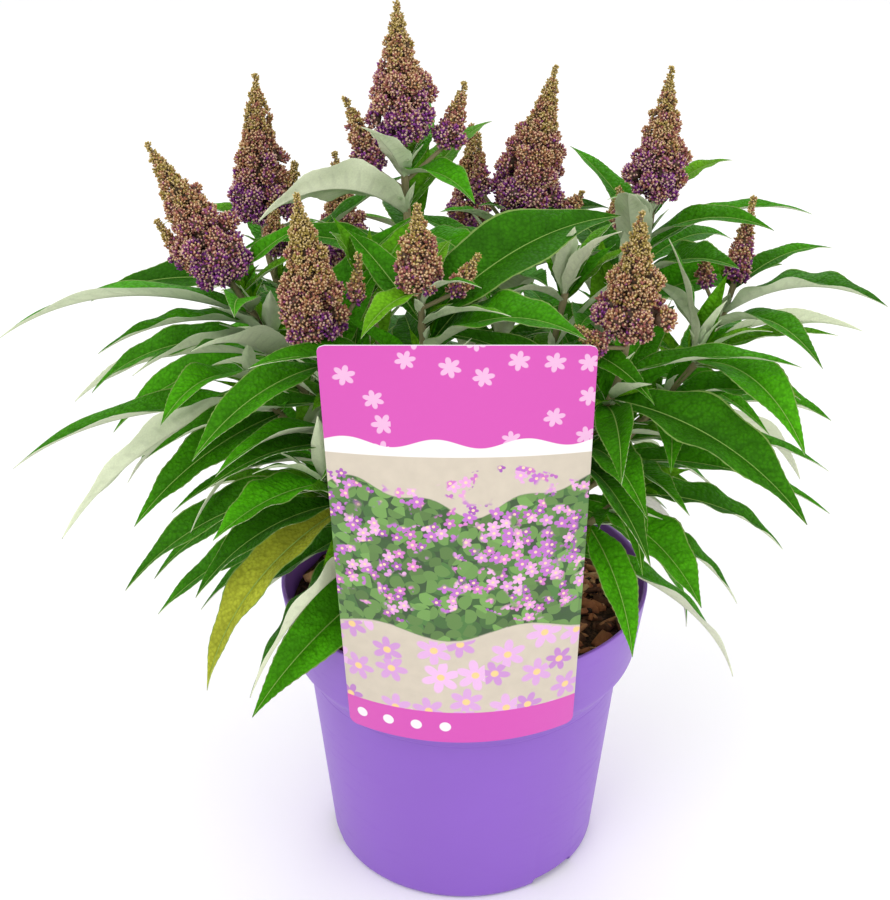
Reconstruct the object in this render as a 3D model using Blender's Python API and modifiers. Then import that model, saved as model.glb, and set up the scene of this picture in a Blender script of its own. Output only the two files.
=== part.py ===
"""A butterfly bush coming into flower, in a tapered growers' pot with a card label on the rim.

Metres, +Z up. The origin is the middle of the pot's flat underside, and the label's side of the plant
faces -Y.
Angles in the tables are in degrees. A heading is measured anticlockwise from +X, seen from above.
"""

import math
import random
from typing import NamedTuple

import bmesh
import bpy
from mathutils import Matrix, Vector
from mathutils.bvhtree import BVHTree

# Driving sizes of the pot
POT_HEIGHT = 0.157
POT_TOP_RADIUS = 0.095
POT_BASE_RADIUS = 0.0712
POT_WALL = 0.002
BAND_HEIGHT = 0.037
BAND_FOOT_RADIUS = 0.0896
BAND_SLOPE = 0.0095
BODY_TOP_RADIUS = 0.0822
LIP_HEIGHT = 0.0035
POT_FLOOR = 0.008
POT_SIDES = 36
DRAIN_SLOTS = 3
DRAIN_SLOT_HEIGHT = 0.0045
DRAIN_SLOT_WIDTH = 0.028
DRAIN_SLOT_DEPTH = 0.016
DRAIN_SLOT_FIRST = -48.0
DRAIN_HOLE_RADIUS = 0.005

# Driving sizes of the soil
SOIL_TOP = 0.146
SOIL_EDGE_FALL = 0.006
CLEARANCE = 0.0003

# Driving sizes of the card label
CARD_WIDTH = 0.1155
CARD_FOOT = 0.1195
CARD_HEIGHT = 0.212
CARD_THICKNESS = 0.0008
CARD_FOOT_FRONT = 0.0940
CARD_LEAN = 3.65
CARD_FLATTENING = 0.7
CARD_FOOT_X = -0.002
CARD_TOP_X = -0.005
HOOK_WIDTH = 0.016
HOOK_THICKNESS = 0.0010
HOOK_DROP = 0.0125
HOOK_INNER_FACE = 0.0885

# Driving sizes of the wood
TRUNK_HEIGHT = 0.046
TRUNK_RADIUS = 0.0080
TRUNK_FLARE_RADIUS = 0.0125
TRUNK_LEAN = Vector((0.002, 0.001, 1.0)).normalized()
BOUGH_FOOT_OFFSET = 0.0055
BOUGH_FOOT_RADIUS = 0.0028
BOUGH_TIP_RADIUS = 0.0023
STEM_TIP_RADIUS = 0.0014
TWIG_RADIUS = 0.0012

# Driving sizes of the leaves
LEAF_LENGTH = 0.118
LEAF_SLENDERNESS = 4.3
LEAF_THICKNESS_SHARE = 0.011
LEAF_FOLD = 20.0
LEAF_STATIONS = (0.15, 0.42, 0.74)
MIDRIB_STEPS = 24
PLANT_SEED = 41
CROWN_REACH = 0.226
LOWEST_LEAF = 0.125
LEAF_GAP = 0.0009
RIM_GAP = 0.0028

# Driving sizes of the spikes, and how finely a limb is cut up
SPIKE_TIER = 0.0115
SPIKE_TIP_RADIUS = 0.0014
STALK_IN_SPIKE = 0.006
BOUGH_TO_STEM_GAP = 0.0004
SEGMENTS_PER_BOUGH = 5
SEGMENTS_PER_STEM = 6


class Spike(NamedTuple):
    """A flower spike: where its base is, where it leans, and its size."""

    base: Vector
    direction: Vector
    length: float
    radius: float


class Leaf(NamedTuple):
    """A leaf: its root on a stem, the heading and rise it starts with, and how far it droops and turns
    aside."""

    root: Vector
    heading: float
    rise: float
    droop: float
    length: float
    width: float
    sweep: float = 0.0
    roll: float = 0.0


class Shoot(NamedTuple):
    """A leafy shoot. head is where its stem ends, below the spike if it has one. foot is how far up the
    trunk its limb starts, and bare is the share of the limb that is a bough."""

    name: str
    head: tuple
    foot: float
    bare: float
    lean_heading: float
    lean: float
    spike_length: float
    spike_radius: float
    pairs: int
    turn: float
    leaf: float


class Side(NamedTuple):
    """A small spike on a stalk of its own beside a shoot's head."""

    shoot: str
    share: float
    heading: float
    rise: float
    stalk: float
    length: float
    radius: float


class Lead(NamedTuple):
    """A leaf that shows well, so its tip is given and not left to the rule. Its root is at a share of a
    stem."""

    shoot: str
    share: float
    tip: tuple
    droop: float
    width: float
    roll: float = 0.0


# name, head, foot, bare, lean_heading, lean, spike_length, spike_radius, pairs, turn, leaf
SHOOTS = (
    Shoot("shoot_far_left", (-0.112, -0.010, 0.327), 0.029, 0.42, 182, 27, 0.068, 0.0180, 6, 5, 0.98),
    Shoot("shoot_back_left", (-0.101, 0.050, 0.336), 0.036, 0.42, 90, 3, 0.067, 0.0185, 6, 40, 0.95),
    Shoot("shoot_top", (-0.030, 0.030, 0.381), 0.045, 0.48, 180, 2, 0.062, 0.0190, 6, 75, 0.80),
    Shoot("shoot_back_mid", (0.028, 0.050, 0.338), 0.045, 0.48, 0, 12, 0.072, 0.0200, 5, 20, 0.85),
    Shoot("shoot_back_right", (0.094, 0.050, 0.346), 0.036, 0.42, 20, 4, 0.061, 0.0160, 6, 30, 0.95),
    Shoot("shoot_far_right", (0.133, 0.028, 0.310), 0.029, 0.42, 10, 8, 0.041, 0.0075, 6, 15, 0.98),
    Shoot("shoot_front_left", (-0.067, -0.050, 0.314), 0.015, 0.44, 190, 6, 0.064, 0.0180, 5, 35, 0.90),
    Shoot("shoot_front_mid", (-0.021, -0.052, 0.338), 0.036, 0.50, 250, 4, 0.036, 0.0135, 5, 60, 0.70),
    Shoot("shoot_front_right", (0.073, -0.042, 0.310), 0.029, 0.44, 40, 4, 0.056, 0.0182, 5, 10, 0.90),
    Shoot("shoot_rear_left", (-0.064, 0.112, 0.288), 0.022, 0.42, 115, 12, 0.058, 0.0150, 6, 25, 0.98),
    Shoot("shoot_rear", (0.003, 0.108, 0.305), 0.029, 0.42, 80, 6, 0.058, 0.0140, 6, 0, 0.95),
    Shoot("shoot_rear_right", (0.080, 0.108, 0.282), 0.022, 0.42, 50, 12, 0.056, 0.0150, 6, 50, 0.98),
    Shoot("spray_left", (-0.104, -0.030, 0.284), 0.022, 0.0, 195, 35, 0.0, 0.0, 5, 10, 1.00),
    Shoot("spray_right", (0.112, -0.012, 0.284), 0.022, 0.0, 350, 35, 0.0, 0.0, 5, 70, 1.00),
    Shoot("spray_front_left", (-0.066, -0.066, 0.246), 0.008, 0.0, 225, 40, 0.0, 0.0, 5, 80, 1.00),
    Shoot("spray_front", (0.010, -0.074, 0.262), 0.015, 0.0, 270, 20, 0.0, 0.0, 4, 30, 0.90),
    Shoot("spray_front_right", (0.076, -0.062, 0.240), 0.008, 0.0, 320, 40, 0.0, 0.0, 5, 20, 1.00),
    Shoot("spray_low_left", (-0.070, 0.012, 0.206), 0.015, 0.0, 170, 60, 0.0, 0.0, 4, 22, 1.00),
    Shoot("spray_low_right", (0.072, 0.016, 0.204), 0.015, 0.0, 10, 60, 0.0, 0.0, 4, 60, 1.00),
    Shoot("spray_rear_left", (-0.088, 0.080, 0.240), 0.008, 0.0, 140, 45, 0.0, 0.0, 5, 50, 1.00),
    Shoot("spray_rear", (0.008, 0.112, 0.225), 0.015, 0.0, 90, 45, 0.0, 0.0, 5, 35, 1.00),
    Shoot("spray_mid_left", (-0.046, -0.018, 0.322), 0.044, 0.0, 200, 10, 0.0, 0.0, 4, 15, 0.85),
    Shoot("spray_mid_right", (0.046, -0.014, 0.318), 0.044, 0.0, 340, 10, 0.0, 0.0, 4, 65, 0.85),
    Shoot("spray_rear_right", (0.100, 0.072, 0.238), 0.008, 0.0, 40, 45, 0.0, 0.0, 5, 5, 1.00),
)

# shoot, share of the stem, heading, rise, stalk, length, radius
SIDES = (
    Side("shoot_top", 0.86, 195, 38, 0.020, 0.036, 0.0095),
    Side("shoot_top", 0.88, 5, 42, 0.027, 0.030, 0.0090),
    Side("shoot_far_left", 0.95, 180, 28, 0.025, 0.024, 0.0060),
    Side("shoot_back_left", 0.95, 355, 45, 0.017, 0.024, 0.0080),
    Side("shoot_back_left", 0.82, 280, 60, 0.022, 0.024, 0.0080),
    Side("shoot_front_left", 0.93, 5, 58, 0.030, 0.022, 0.0045),
    Side("shoot_front_mid", 0.92, 355, 28, 0.017, 0.020, 0.0065),
    Side("shoot_front_right", 0.95, 205, 12, 0.014, 0.018, 0.0070),
    Side("shoot_back_mid", 0.90, 190, 55, 0.030, 0.030, 0.0055),
    Side("shoot_back_mid", 0.92, 355, 22, 0.026, 0.014, 0.0080),
    Side("shoot_back_right", 0.88, 200, 40, 0.014, 0.020, 0.0080),
    Side("shoot_far_right", 0.88, 220, 58, 0.026, 0.020, 0.0055),
    Side("shoot_rear", 0.86, 60, 45, 0.016, 0.022, 0.0070),
    Side("shoot_rear_left", 0.86, 160, 45, 0.016, 0.024, 0.0070),
    Side("shoot_rear_right", 0.86, 20, 45, 0.016, 0.022, 0.0070),
)

# shoot, share of the stem, tip, droop, width, roll
LEADS = (
    Lead("shoot_far_left", 0.87, (-0.216, -0.032, 0.302), 60, 0.027, 18),
    Lead("shoot_far_left", 0.84, (-0.168, -0.045, 0.300), 50, 0.020, 12),
    Lead("shoot_far_left", 0.78, (-0.150, -0.060, 0.296), 48, 0.020, 30),
    Lead("shoot_far_left", 0.74, (-0.196, 0.012, 0.249), 50, 0.018, 40),
    Lead("spray_left", 0.97, (-0.133, -0.090, 0.286), 70, 0.022),
    Lead("spray_left", 0.84, (-0.220, -0.026, 0.231), 46, 0.026, 5),
    Lead("spray_left", 0.92, (-0.188, -0.082, 0.222), 50, 0.024, 75),
    Lead("spray_left", 0.68, (-0.124, -0.092, 0.233), 80, 0.010, 60),
    Lead("spray_left", 0.60, (-0.134, -0.080, 0.237), 50, 0.014, 10),
    Lead("shoot_front_left", 0.90, (-0.117, -0.112, 0.280), 45, 0.022, -10),
    Lead("shoot_front_left", 0.78, (-0.150, -0.072, 0.268), 40, 0.022),
    Lead("shoot_front_left", 0.62, (-0.114, -0.104, 0.262), 45, 0.020),
    Lead("spray_front_left", 0.96, (-0.154, -0.100, 0.208), 55, 0.028),
    Lead("spray_front_left", 0.84, (-0.123, -0.098, 0.203), 60, 0.024),
    Lead("spray_front_left", 0.99, (-0.106, -0.114, 0.233), 45, 0.026),
    Lead("spray_front_left", 0.50, (-0.098, -0.122, 0.165), 65, 0.031, 50),
    Lead("spray_front_left", 0.82, (-0.120, -0.104, 0.156), 65, 0.026),
    Lead("spray_front_left", 0.74, (-0.150, -0.072, 0.170), 45, 0.024),
    Lead("shoot_far_right", 0.90, (0.196, -0.020, 0.313), 62, 0.032, -8),
    Lead("shoot_far_right", 0.86, (0.158, -0.062, 0.300), 60, 0.020),
    Lead("shoot_far_right", 0.76, (0.186, 0.022, 0.281), 40, 0.016),
    Lead("shoot_far_right", 0.82, (0.195, 0.006, 0.281), 46, 0.014, -60),
    Lead("spray_right", 0.98, (0.147, -0.092, 0.272), 72, 0.026, 8),
    Lead("spray_right", 0.84, (0.172, -0.036, 0.262), 50, 0.030),
    Lead("spray_right", 0.72, (0.192, 0.040, 0.226), 42, 0.015),
    Lead("spray_right", 0.64, (0.184, 0.000, 0.216), 45, 0.021),
    Lead("spray_right", 0.54, (0.180, -0.026, 0.206), 45, 0.023),
    Lead("shoot_front_right", 0.78, (0.149, -0.102, 0.243), 50, 0.036, 10),
    Lead("shoot_front_right", 0.58, (0.077, -0.112, 0.252), 55, 0.024),
    Lead("spray_front_right", 0.96, (0.150, -0.060, 0.206), 52, 0.024),
    Lead("spray_front_right", 0.84, (0.106, -0.100, 0.199), 55, 0.029),
    Lead("spray_front_right", 0.72, (0.077, -0.094, 0.168), 62, 0.019),
    Lead("shoot_front_mid", 0.86, (0.072, -0.004, 0.352), 46, 0.038, 20),
    Lead("shoot_front_mid", 0.78, (0.050, -0.092, 0.327), 66, 0.032, 10),
    Lead("shoot_front_mid", 0.54, (-0.094, -0.092, 0.314), 65, 0.034),
    Lead("shoot_front_mid", 0.97, (-0.046, -0.084, 0.324), 55, 0.015),
    Lead("shoot_back_right", 0.84, (0.176, 0.060, 0.331), 60, 0.016),
    Lead("shoot_back_right", 0.74, (0.126, -0.018, 0.331), 50, 0.028, 15),
    Lead("shoot_top", 0.80, (-0.095, -0.020, 0.354), 74, 0.028, 55),
    Lead("shoot_top", 0.90, (0.004, -0.012, 0.360), 58, 0.022),
    Lead("shoot_back_mid", 0.86, (0.078, 0.080, 0.335), 62, 0.020),
    Lead("shoot_back_left", 0.74, (-0.086, -0.016, 0.308), 60, 0.020),
)


def heading_vector(heading, rise=0.0):
    """The unit vector of a heading and a rise above the level, both in degrees."""
    turn, lift = math.radians(heading), math.radians(rise)
    return Vector((math.cos(turn) * math.cos(lift), math.sin(turn) * math.cos(lift), math.sin(lift)))


def curve_points(start, start_pull, end_pull, end, count):
    """Points along the cubic curve from start to end, which the two pull points bend."""
    points = []
    for i in range(count + 1):
        t = i / count
        s = 1.0 - t
        points.append(start * s**3 + start_pull * 3 * s * s * t + end_pull * 3 * s * t * t + end * t**3)
    return points


def at_share(points, share):
    """(point, direction) at this share of a path's length."""
    lengths = [(b - a).length for a, b in zip(points, points[1:])]
    left = share * sum(lengths)
    for a, b, length in zip(points, points[1:], lengths):
        if left <= length or b is points[-1]:
            return a.lerp(b, left / length), (b - a).normalized()
        left -= length


def part_of_path(points, first, last, count):
    """count + 1 evenly spaced points of a path, from one share of its length to another."""
    return [at_share(points, first + (last - first) * i / count)[0] for i in range(count + 1)]


def card_middle(z):
    """(x, distance in front of the axis) of the middle of the card's front at a height. The card leans
    out."""
    up = (z - CARD_FOOT) / CARD_HEIGHT
    front = CARD_FOOT_FRONT + math.tan(math.radians(CARD_LEAN)) * (z - CARD_FOOT)
    return CARD_FOOT_X + (CARD_TOP_X - CARD_FOOT_X) * up, front


def card_face(across, z):
    """The point of the card's front this far from its middle line. It is curved like the pot at its foot and
    flat at its top."""
    middle, front = card_middle(z)
    up = min(max((z - CARD_FOOT) / CARD_HEIGHT, 0.0), 1.0)
    bend = (1.0 - up) ** CARD_FLATTENING / front
    if bend * CARD_WIDTH < 0.01:
        return Vector((middle + across, -front, z))
    reach, turn = 1.0 / bend, across * bend
    return Vector((middle + reach * math.sin(turn), reach - front - reach * math.cos(turn), z))


def pot_outer_radius(z):
    """The pot's outer radius at a height, its band and lip included."""
    band_foot = POT_HEIGHT - BAND_HEIGHT
    body_top = band_foot - BAND_SLOPE
    if z < body_top:
        return POT_BASE_RADIUS + (BODY_TOP_RADIUS - POT_BASE_RADIUS) * z / body_top
    if z < band_foot:
        return BODY_TOP_RADIUS + (BAND_FOOT_RADIUS - BODY_TOP_RADIUS) * (z - body_top) / BAND_SLOPE
    return BAND_FOOT_RADIUS + (POT_TOP_RADIUS - BAND_FOOT_RADIUS) * (z - band_foot) / BAND_HEIGHT


def in_the_way_of_pot_or_card(point, margin=RIM_GAP):
    """True for a point in or against the pot, the soil or the card, or in front of the card."""
    if point.z < LOWEST_LEAF or Vector((point.x, point.y)).length > CROWN_REACH:
        return True
    from_axis = math.hypot(point.x, point.y)
    if point.z < POT_HEIGHT + margin:
        outside = from_axis > pot_outer_radius(min(point.z, POT_HEIGHT)) + margin
        inside = from_axis < POT_TOP_RADIUS - 2 * POT_WALL - 3 * margin and point.z > SOIL_TOP + margin
        if not (outside or inside):
            return True
    across = point.x - card_middle(point.z)[0]
    beside_card = CARD_FOOT - margin < point.z < CARD_FOOT + CARD_HEIGHT + margin
    if beside_card and abs(across) < CARD_WIDTH / 2 + margin:
        return point.y < card_face(across, point.z).y + CARD_THICKNESS + margin
    return False


def limb_path(shoot):
    """The middle line of a shoot's whole limb, from inside the trunk to its head."""
    head = Vector(shoot.head)
    heading = math.degrees(math.atan2(head.y, head.x))
    foot = Vector((0, 0, SOIL_TOP)) + TRUNK_LEAN * shoot.foot + heading_vector(heading) * BOUGH_FOOT_OFFSET
    chord = head - foot
    reach = chord.length
    chord_rise = math.degrees(math.asin(chord.z / reach))
    start = heading_vector(heading, max(chord_rise - 14.0, 16.0))
    end = heading_vector(shoot.lean_heading, 90.0 - shoot.lean)
    return curve_points(foot, foot + start * reach * 0.36, head - end * reach * 0.32, head, 24)


def outline_share(s):
    """Half the leaf's width at share s of its length, as a share of its greatest."""
    return math.sin(math.pi * s**0.75) ** 1.2 if 0.0 < s < 1.0 else 0.0


def midrib(leaf, shares):
    """For each share of the leaf's length, (point, side, up): the midrib's point and the blade's two
    directions."""
    point = leaf.root.copy()
    frames, wanted = [], list(shares)
    for i in range(MIDRIB_STEPS + 1):
        s = i / MIDRIB_STEPS
        rise = leaf.rise - leaf.droop * s**1.25
        heading = leaf.heading + leaf.sweep * s
        along = heading_vector(heading, rise)
        side = heading_vector(heading - 90.0)
        up = side.cross(along)
        roll = Matrix.Rotation(math.radians(leaf.roll * min(1.0, 2.5 * s)), 3, along)
        while wanted and wanted[0] <= s + 1e-9:
            frames.append((point + along * (leaf.length * (wanted[0] - s)), roll @ side, roll @ up))
            wanted.pop(0)
        point = point + along * (leaf.length / MIDRIB_STEPS)
    return frames


def leaf_solid(leaf, swell=0.0):
    """(points, faces) of a folded, tapering leaf blade that is one closed solid. swell makes it that much
    bigger all round, for finding out what it would touch."""
    thickness = leaf.length * LEAF_THICKNESS_SHARE
    fold = math.tan(math.radians(LEAF_FOLD))
    points = [leaf.root.copy()]
    for s, (middle, side, up) in zip(LEAF_STATIONS, midrib(leaf, LEAF_STATIONS)):
        half = leaf.width / 2 * outline_share(s) + swell
        points += [
            middle - side * half + up * half * fold,
            middle + up * swell,
            middle + side * half + up * half * fold,
            middle - up * (thickness + swell),
        ]
    points.append(midrib(leaf, (1.0,))[0][0])
    faces = [(0, 1 + (k + 1) % 4, 1 + k) for k in range(4)]
    for ring in range(len(LEAF_STATIONS) - 1):
        low, high = 1 + 4 * ring, 5 + 4 * ring
        for k in range(4):
            other = (k + 1) % 4
            if k < 2:
                faces += [(low + k, high + other, high + k), (low + k, low + other, high + other)]
            else:
                faces += [(low + k, low + other, high + k), (low + other, high + other, high + k)]
    tip, last = len(points) - 1, len(points) - 5
    faces += [(last + k, last + (k + 1) % 4, tip) for k in range(4)]
    return points, faces


def spike_profile(length, radius):
    """(height, radius) down the outer side of a spike, from its tip to its base. Its flower rings stand out
    in tiers."""
    tiers = max(3, round(length / SPIKE_TIER))
    profile = [(length, 0.0)]
    for tier in range(tiers):
        for share, swell in ((0.25, 1.08), (0.90, 0.80)):
            down = (tier + share) / tiers
            profile.append((length * (1.0 - down), swell * spike_radius_at(down, radius)))
    profile.append((0.0, 0.0))
    return profile


def spike_radius_at(down, radius):
    """A spike's radius at this share of its length below the tip."""
    swelling = min(1.0, 1.08 * down) ** 1.15 * (1.0 - max(0.0, down - 0.82) * 1.6)
    return SPIKE_TIP_RADIUS + (radius - SPIKE_TIP_RADIUS) * swelling


def spike_solid(spike):
    """(points, faces) of a spike: its profile spun about its axis."""
    sides = 8 if spike.radius > 0.010 else 6
    mesh = bmesh.new()
    profile = [mesh.verts.new((r, 0, h)) for h, r in spike_profile(spike.length, spike.radius)]
    edges = [mesh.edges.new(pair) for pair in zip(profile, profile[1:])]
    bmesh.ops.spin(
        mesh,
        geom=profile + edges,
        cent=(0, 0, 0),
        axis=(0, 0, 1),
        angle=math.tau,
        steps=sides,
        use_merge=True,
    )
    bmesh.ops.remove_doubles(mesh, verts=mesh.verts, dist=1e-6)
    bmesh.ops.recalc_face_normals(mesh, faces=mesh.faces)
    bmesh.ops.triangulate(mesh, faces=mesh.faces)
    turn = spike.direction.to_track_quat("Z", "X").to_matrix().to_4x4()
    bmesh.ops.transform(mesh, matrix=Matrix.Translation(spike.base) @ turn, verts=mesh.verts)
    mesh.verts.index_update()
    points = [v.co.copy() for v in mesh.verts]
    faces = [tuple(v.index for v in f.verts) for f in mesh.faces]
    mesh.free()
    return points, faces


def tube_solid(points, radii, sides):
    """(points, faces) of a tapering limb along a path. A twig is four-sided, and a bough eight-sided."""
    data = bpy.data.curves.new("limb", "CURVE")
    data.dimensions = "3D"
    data.bevel_depth = 1.0
    data.bevel_resolution = (sides - 4) // 2
    data.use_fill_caps = True
    spline = data.splines.new("POLY")
    spline.points.add(len(points) - 1)
    for place, point, radius in zip(spline.points, points, radii):
        place.co = (*point, 1.0)
        place.radius = radius
    holder = bpy.data.objects.new("limb", data)
    bpy.context.scene.collection.objects.link(holder)
    evaluated = holder.evaluated_get(bpy.context.evaluated_depsgraph_get())
    mesh = bmesh.new()
    mesh.from_mesh(bpy.data.meshes.new_from_object(evaluated))
    bmesh.ops.remove_doubles(mesh, verts=mesh.verts, dist=1e-6)
    bmesh.ops.triangulate(mesh, faces=mesh.faces)
    bmesh.ops.recalc_face_normals(mesh, faces=mesh.faces)
    mesh.verts.index_update()
    made = [v.co.copy() for v in mesh.verts], [tuple(v.index for v in f.verts) for f in mesh.faces]
    mesh.free()
    bpy.data.objects.remove(holder)
    bpy.data.curves.remove(data)
    return made


def tapered(first, last, count):
    return [first + (last - first) * i / count for i in range(count + 1)]


class Item(NamedTuple):
    """A solid of the plant that has its place: which mass it belongs to, and its surface to test against.
    blade is the surface without a leaf's root end, which may touch its own mass."""

    owner: str
    whole: BVHTree
    blade: BVHTree
    low: Vector
    high: Vector


def item_of(owner, solid, root_faces=0):
    points, faces = solid
    low = Vector(tuple(min(p[k] for p in points) for k in range(3)))
    high = Vector(tuple(max(p[k] for p in points) for k in range(3)))
    whole = BVHTree.FromPolygons(points, faces)
    blade = BVHTree.FromPolygons(points, faces[root_faces:]) if root_faces else whole
    return Item(owner, whole, blade, low, high)


def bough_solid(shoot, path, swell=0.0):
    """The bare part of a shoot's limb, as one tapering limb."""
    radii = tapered(BOUGH_FOOT_RADIUS + swell, BOUGH_TIP_RADIUS + swell, SEGMENTS_PER_BOUGH)
    return tube_solid(part_of_path(path, 0.0, shoot.bare, SEGMENTS_PER_BOUGH), radii, 6)


def stem_solid(shoot, path, swell=0.0):
    """The leafy part of a shoot's limb. It starts clear of the bough's tip and ends inside the spike."""
    length = sum((b - a).length for a, b in zip(path, path[1:]))
    start = shoot.bare + BOUGH_TO_STEM_GAP / length if shoot.bare else 0.0
    line = part_of_path(path, start, 1.0, SEGMENTS_PER_STEM)
    if shoot.spike_length:
        direction = heading_vector(shoot.lean_heading, 90.0 - shoot.lean)
        line.append(line[-1] + direction * shoot.spike_length * 0.4)
    return tube_solid(line, tapered(BOUGH_TIP_RADIUS + swell, STEM_TIP_RADIUS + swell, len(line) - 1), 4)


def stalk_solid(stalk, spike, swell=0.0):
    """The stalk of a side spike, from inside the stem to inside the spike."""
    return tube_solid([*stalk, spike.base + spike.direction * STALK_IN_SPIKE], [TWIG_RADIUS + swell] * 3, 4)


def card_sheets(swell):
    """(points, faces) of the card's front and back, this much bigger all round, to test a leaf against."""
    across, upward = 10, 6
    points, faces = [], []
    for push in (-swell, CARD_THICKNESS + swell):
        first = len(points)
        for j in range(upward + 1):
            z = CARD_FOOT - swell + (CARD_HEIGHT + 2 * swell) * j / upward
            for i in range(across + 1):
                place = (i / across - 0.5) * (CARD_WIDTH + 2 * swell)
                points.append(card_face(place, z) + Vector((0, push, 0)))
        for j in range(upward):
            for i in range(across):
                low = first + j * (across + 1) + i
                faces.append((low, low + 1, low + across + 2, low + across + 1))
    return points, faces


def boxes_meet(a, b):
    return all(a.low[k] <= b.high[k] and b.low[k] <= a.high[k] for k in range(3))


def surface_samples(solid):
    points, faces = solid
    samples = list(points)
    for a, b, c in faces:
        samples.append((points[a] + points[b]) / 2)
        samples.append((points[b] + points[c]) / 2)
        samples.append((points[a] + points[b] + points[c]) / 3)
    return samples


def leaf_fits(leaf, owner, items):
    """The leaf's item if it fits in the crown, else None. Its root end may touch its own mass, but the blade
    keeps clear of all that is there."""
    solid = leaf_solid(leaf, swell=LEAF_GAP)
    if any(in_the_way_of_pot_or_card(p) for p in surface_samples(solid)):
        return None
    mine = item_of(owner, solid, root_faces=4)
    for item in items:
        if boxes_meet(mine, item):
            meets = mine.blade.overlap(item.blade) if item.owner == owner else mine.whole.overlap(item.whole)
            if meets:
                return None
    return mine


def nudged(leaf, rng, tries, spread):
    """The leaf as it is first, then with a different lift, turn and size each time, for one that didn't
    fit."""
    yield leaf
    for i in range(tries):
        far = 0.4 + 0.6 * i / tries
        yield leaf._replace(
            heading=leaf.heading + rng.uniform(-spread, spread) * far,
            rise=leaf.rise + rng.uniform(-0.6, 0.9) * spread * far,
            droop=leaf.droop + rng.uniform(-0.6, 0.6) * spread * far,
            length=leaf.length * (1.0 - spread / 130.0 * far * rng.random()),
            roll=leaf.roll + rng.uniform(-15, 15),
        )


def leaf_to_tip(lead, root):
    """The leaf that starts at this root, bends by the lead's droop and ends at its tip."""
    chord = Vector(lead.tip) - root
    heading = math.degrees(math.atan2(chord.y, chord.x))
    trial = Leaf(root, heading, 0.0, lead.droop, 1.0, lead.width, 0.0, lead.roll)
    reached = midrib(trial, (1.0,))[0][0] - root
    lift = math.degrees(math.asin(chord.z / chord.length) - math.asin(reached.z / reached.length))
    return trial._replace(rise=lift, length=chord.length / reached.length)


def ruled_leaves(shoot, path, rng):
    """The leaves that the rule gives a shoot: opposite pairs, each turned a quarter from the last, long and
    drooping at the foot of the stem and short and upright under its head."""
    leaves = []
    first = shoot.bare + 0.07 if shoot.bare else 0.34
    for pair in range(shoot.pairs):
        up = pair / (shoot.pairs - 1)
        share = first + (0.965 - first) * up**0.9
        root, along = at_share(path, share)
        level = Vector((0, 0, 1)).cross(along)
        across = level.normalized() if level.length > 0.05 else Vector((1, 0, 0))
        other = along.cross(across)
        for half in (0, 1):
            turn = math.radians(shoot.turn + 90 * pair + 180 * half + rng.uniform(-14, 14))
            out = across * math.cos(turn) + other * math.sin(turn)
            start = out + along * (0.55 + 0.25 * up)
            heading = math.degrees(math.atan2(start.y, start.x))
            rise = math.degrees(math.atan2(start.z, math.hypot(start.x, start.y)))
            size = shoot.leaf * (1.0 - 0.42 * up**2) * rng.uniform(0.86, 1.06)
            length = LEAF_LENGTH * size
            leaves.append(
                Leaf(
                    root,
                    heading,
                    min(max(rise, -12.0), 62.0),
                    rng.uniform(40, 78) * (1.0 - 0.25 * up),
                    length,
                    length / (LEAF_SLENDERNESS * rng.uniform(0.9, 1.25)),
                    rng.uniform(-18, 18),
                    rng.uniform(-24, 24),
                )
            )
    return leaves


def tip_leaves(shoot, path, rng):
    """The small narrow leaves round the head of a spray, or under a spike."""
    share, count, largest = (0.93, 2, 0.42) if shoot.spike_length else (0.99, 4, 0.52)
    root, along = at_share(path, share)
    heading = math.degrees(math.atan2(along.y, along.x))
    leaves = []
    for i in range(count):
        length = LEAF_LENGTH * rng.uniform(largest - 0.16, largest)
        leaves.append(
            Leaf(
                root,
                heading + 360 * i / count + shoot.turn,
                rng.uniform(35, 62),
                rng.uniform(30, 70),
                length,
                length / 5.4,
                rng.uniform(-20, 20),
                rng.uniform(-20, 20),
            )
        )
    return leaves


def shoot_spikes(shoot, path):
    """The shoot's own spike, then the small ones beside it, each with the stalk's path that carries it."""
    found = []
    if shoot.spike_length:
        direction = heading_vector(shoot.lean_heading, 90.0 - shoot.lean)
        found.append((Spike(path[-1], direction, shoot.spike_length, shoot.spike_radius), None))
    for side in SIDES:
        if side.shoot == shoot.name:
            root = at_share(path, side.share)[0]
            end = root + heading_vector(side.heading, side.rise) * side.stalk
            direction = heading_vector(side.heading, min(side.rise + 32.0, 86.0))
            found.append((Spike(end, direction, side.length, side.radius), (root, end)))
    return found


class Mass(NamedTuple):
    """All that one shoot's node is made of."""

    shoot: Shoot
    path: list
    spikes: list
    leaves: list


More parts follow.
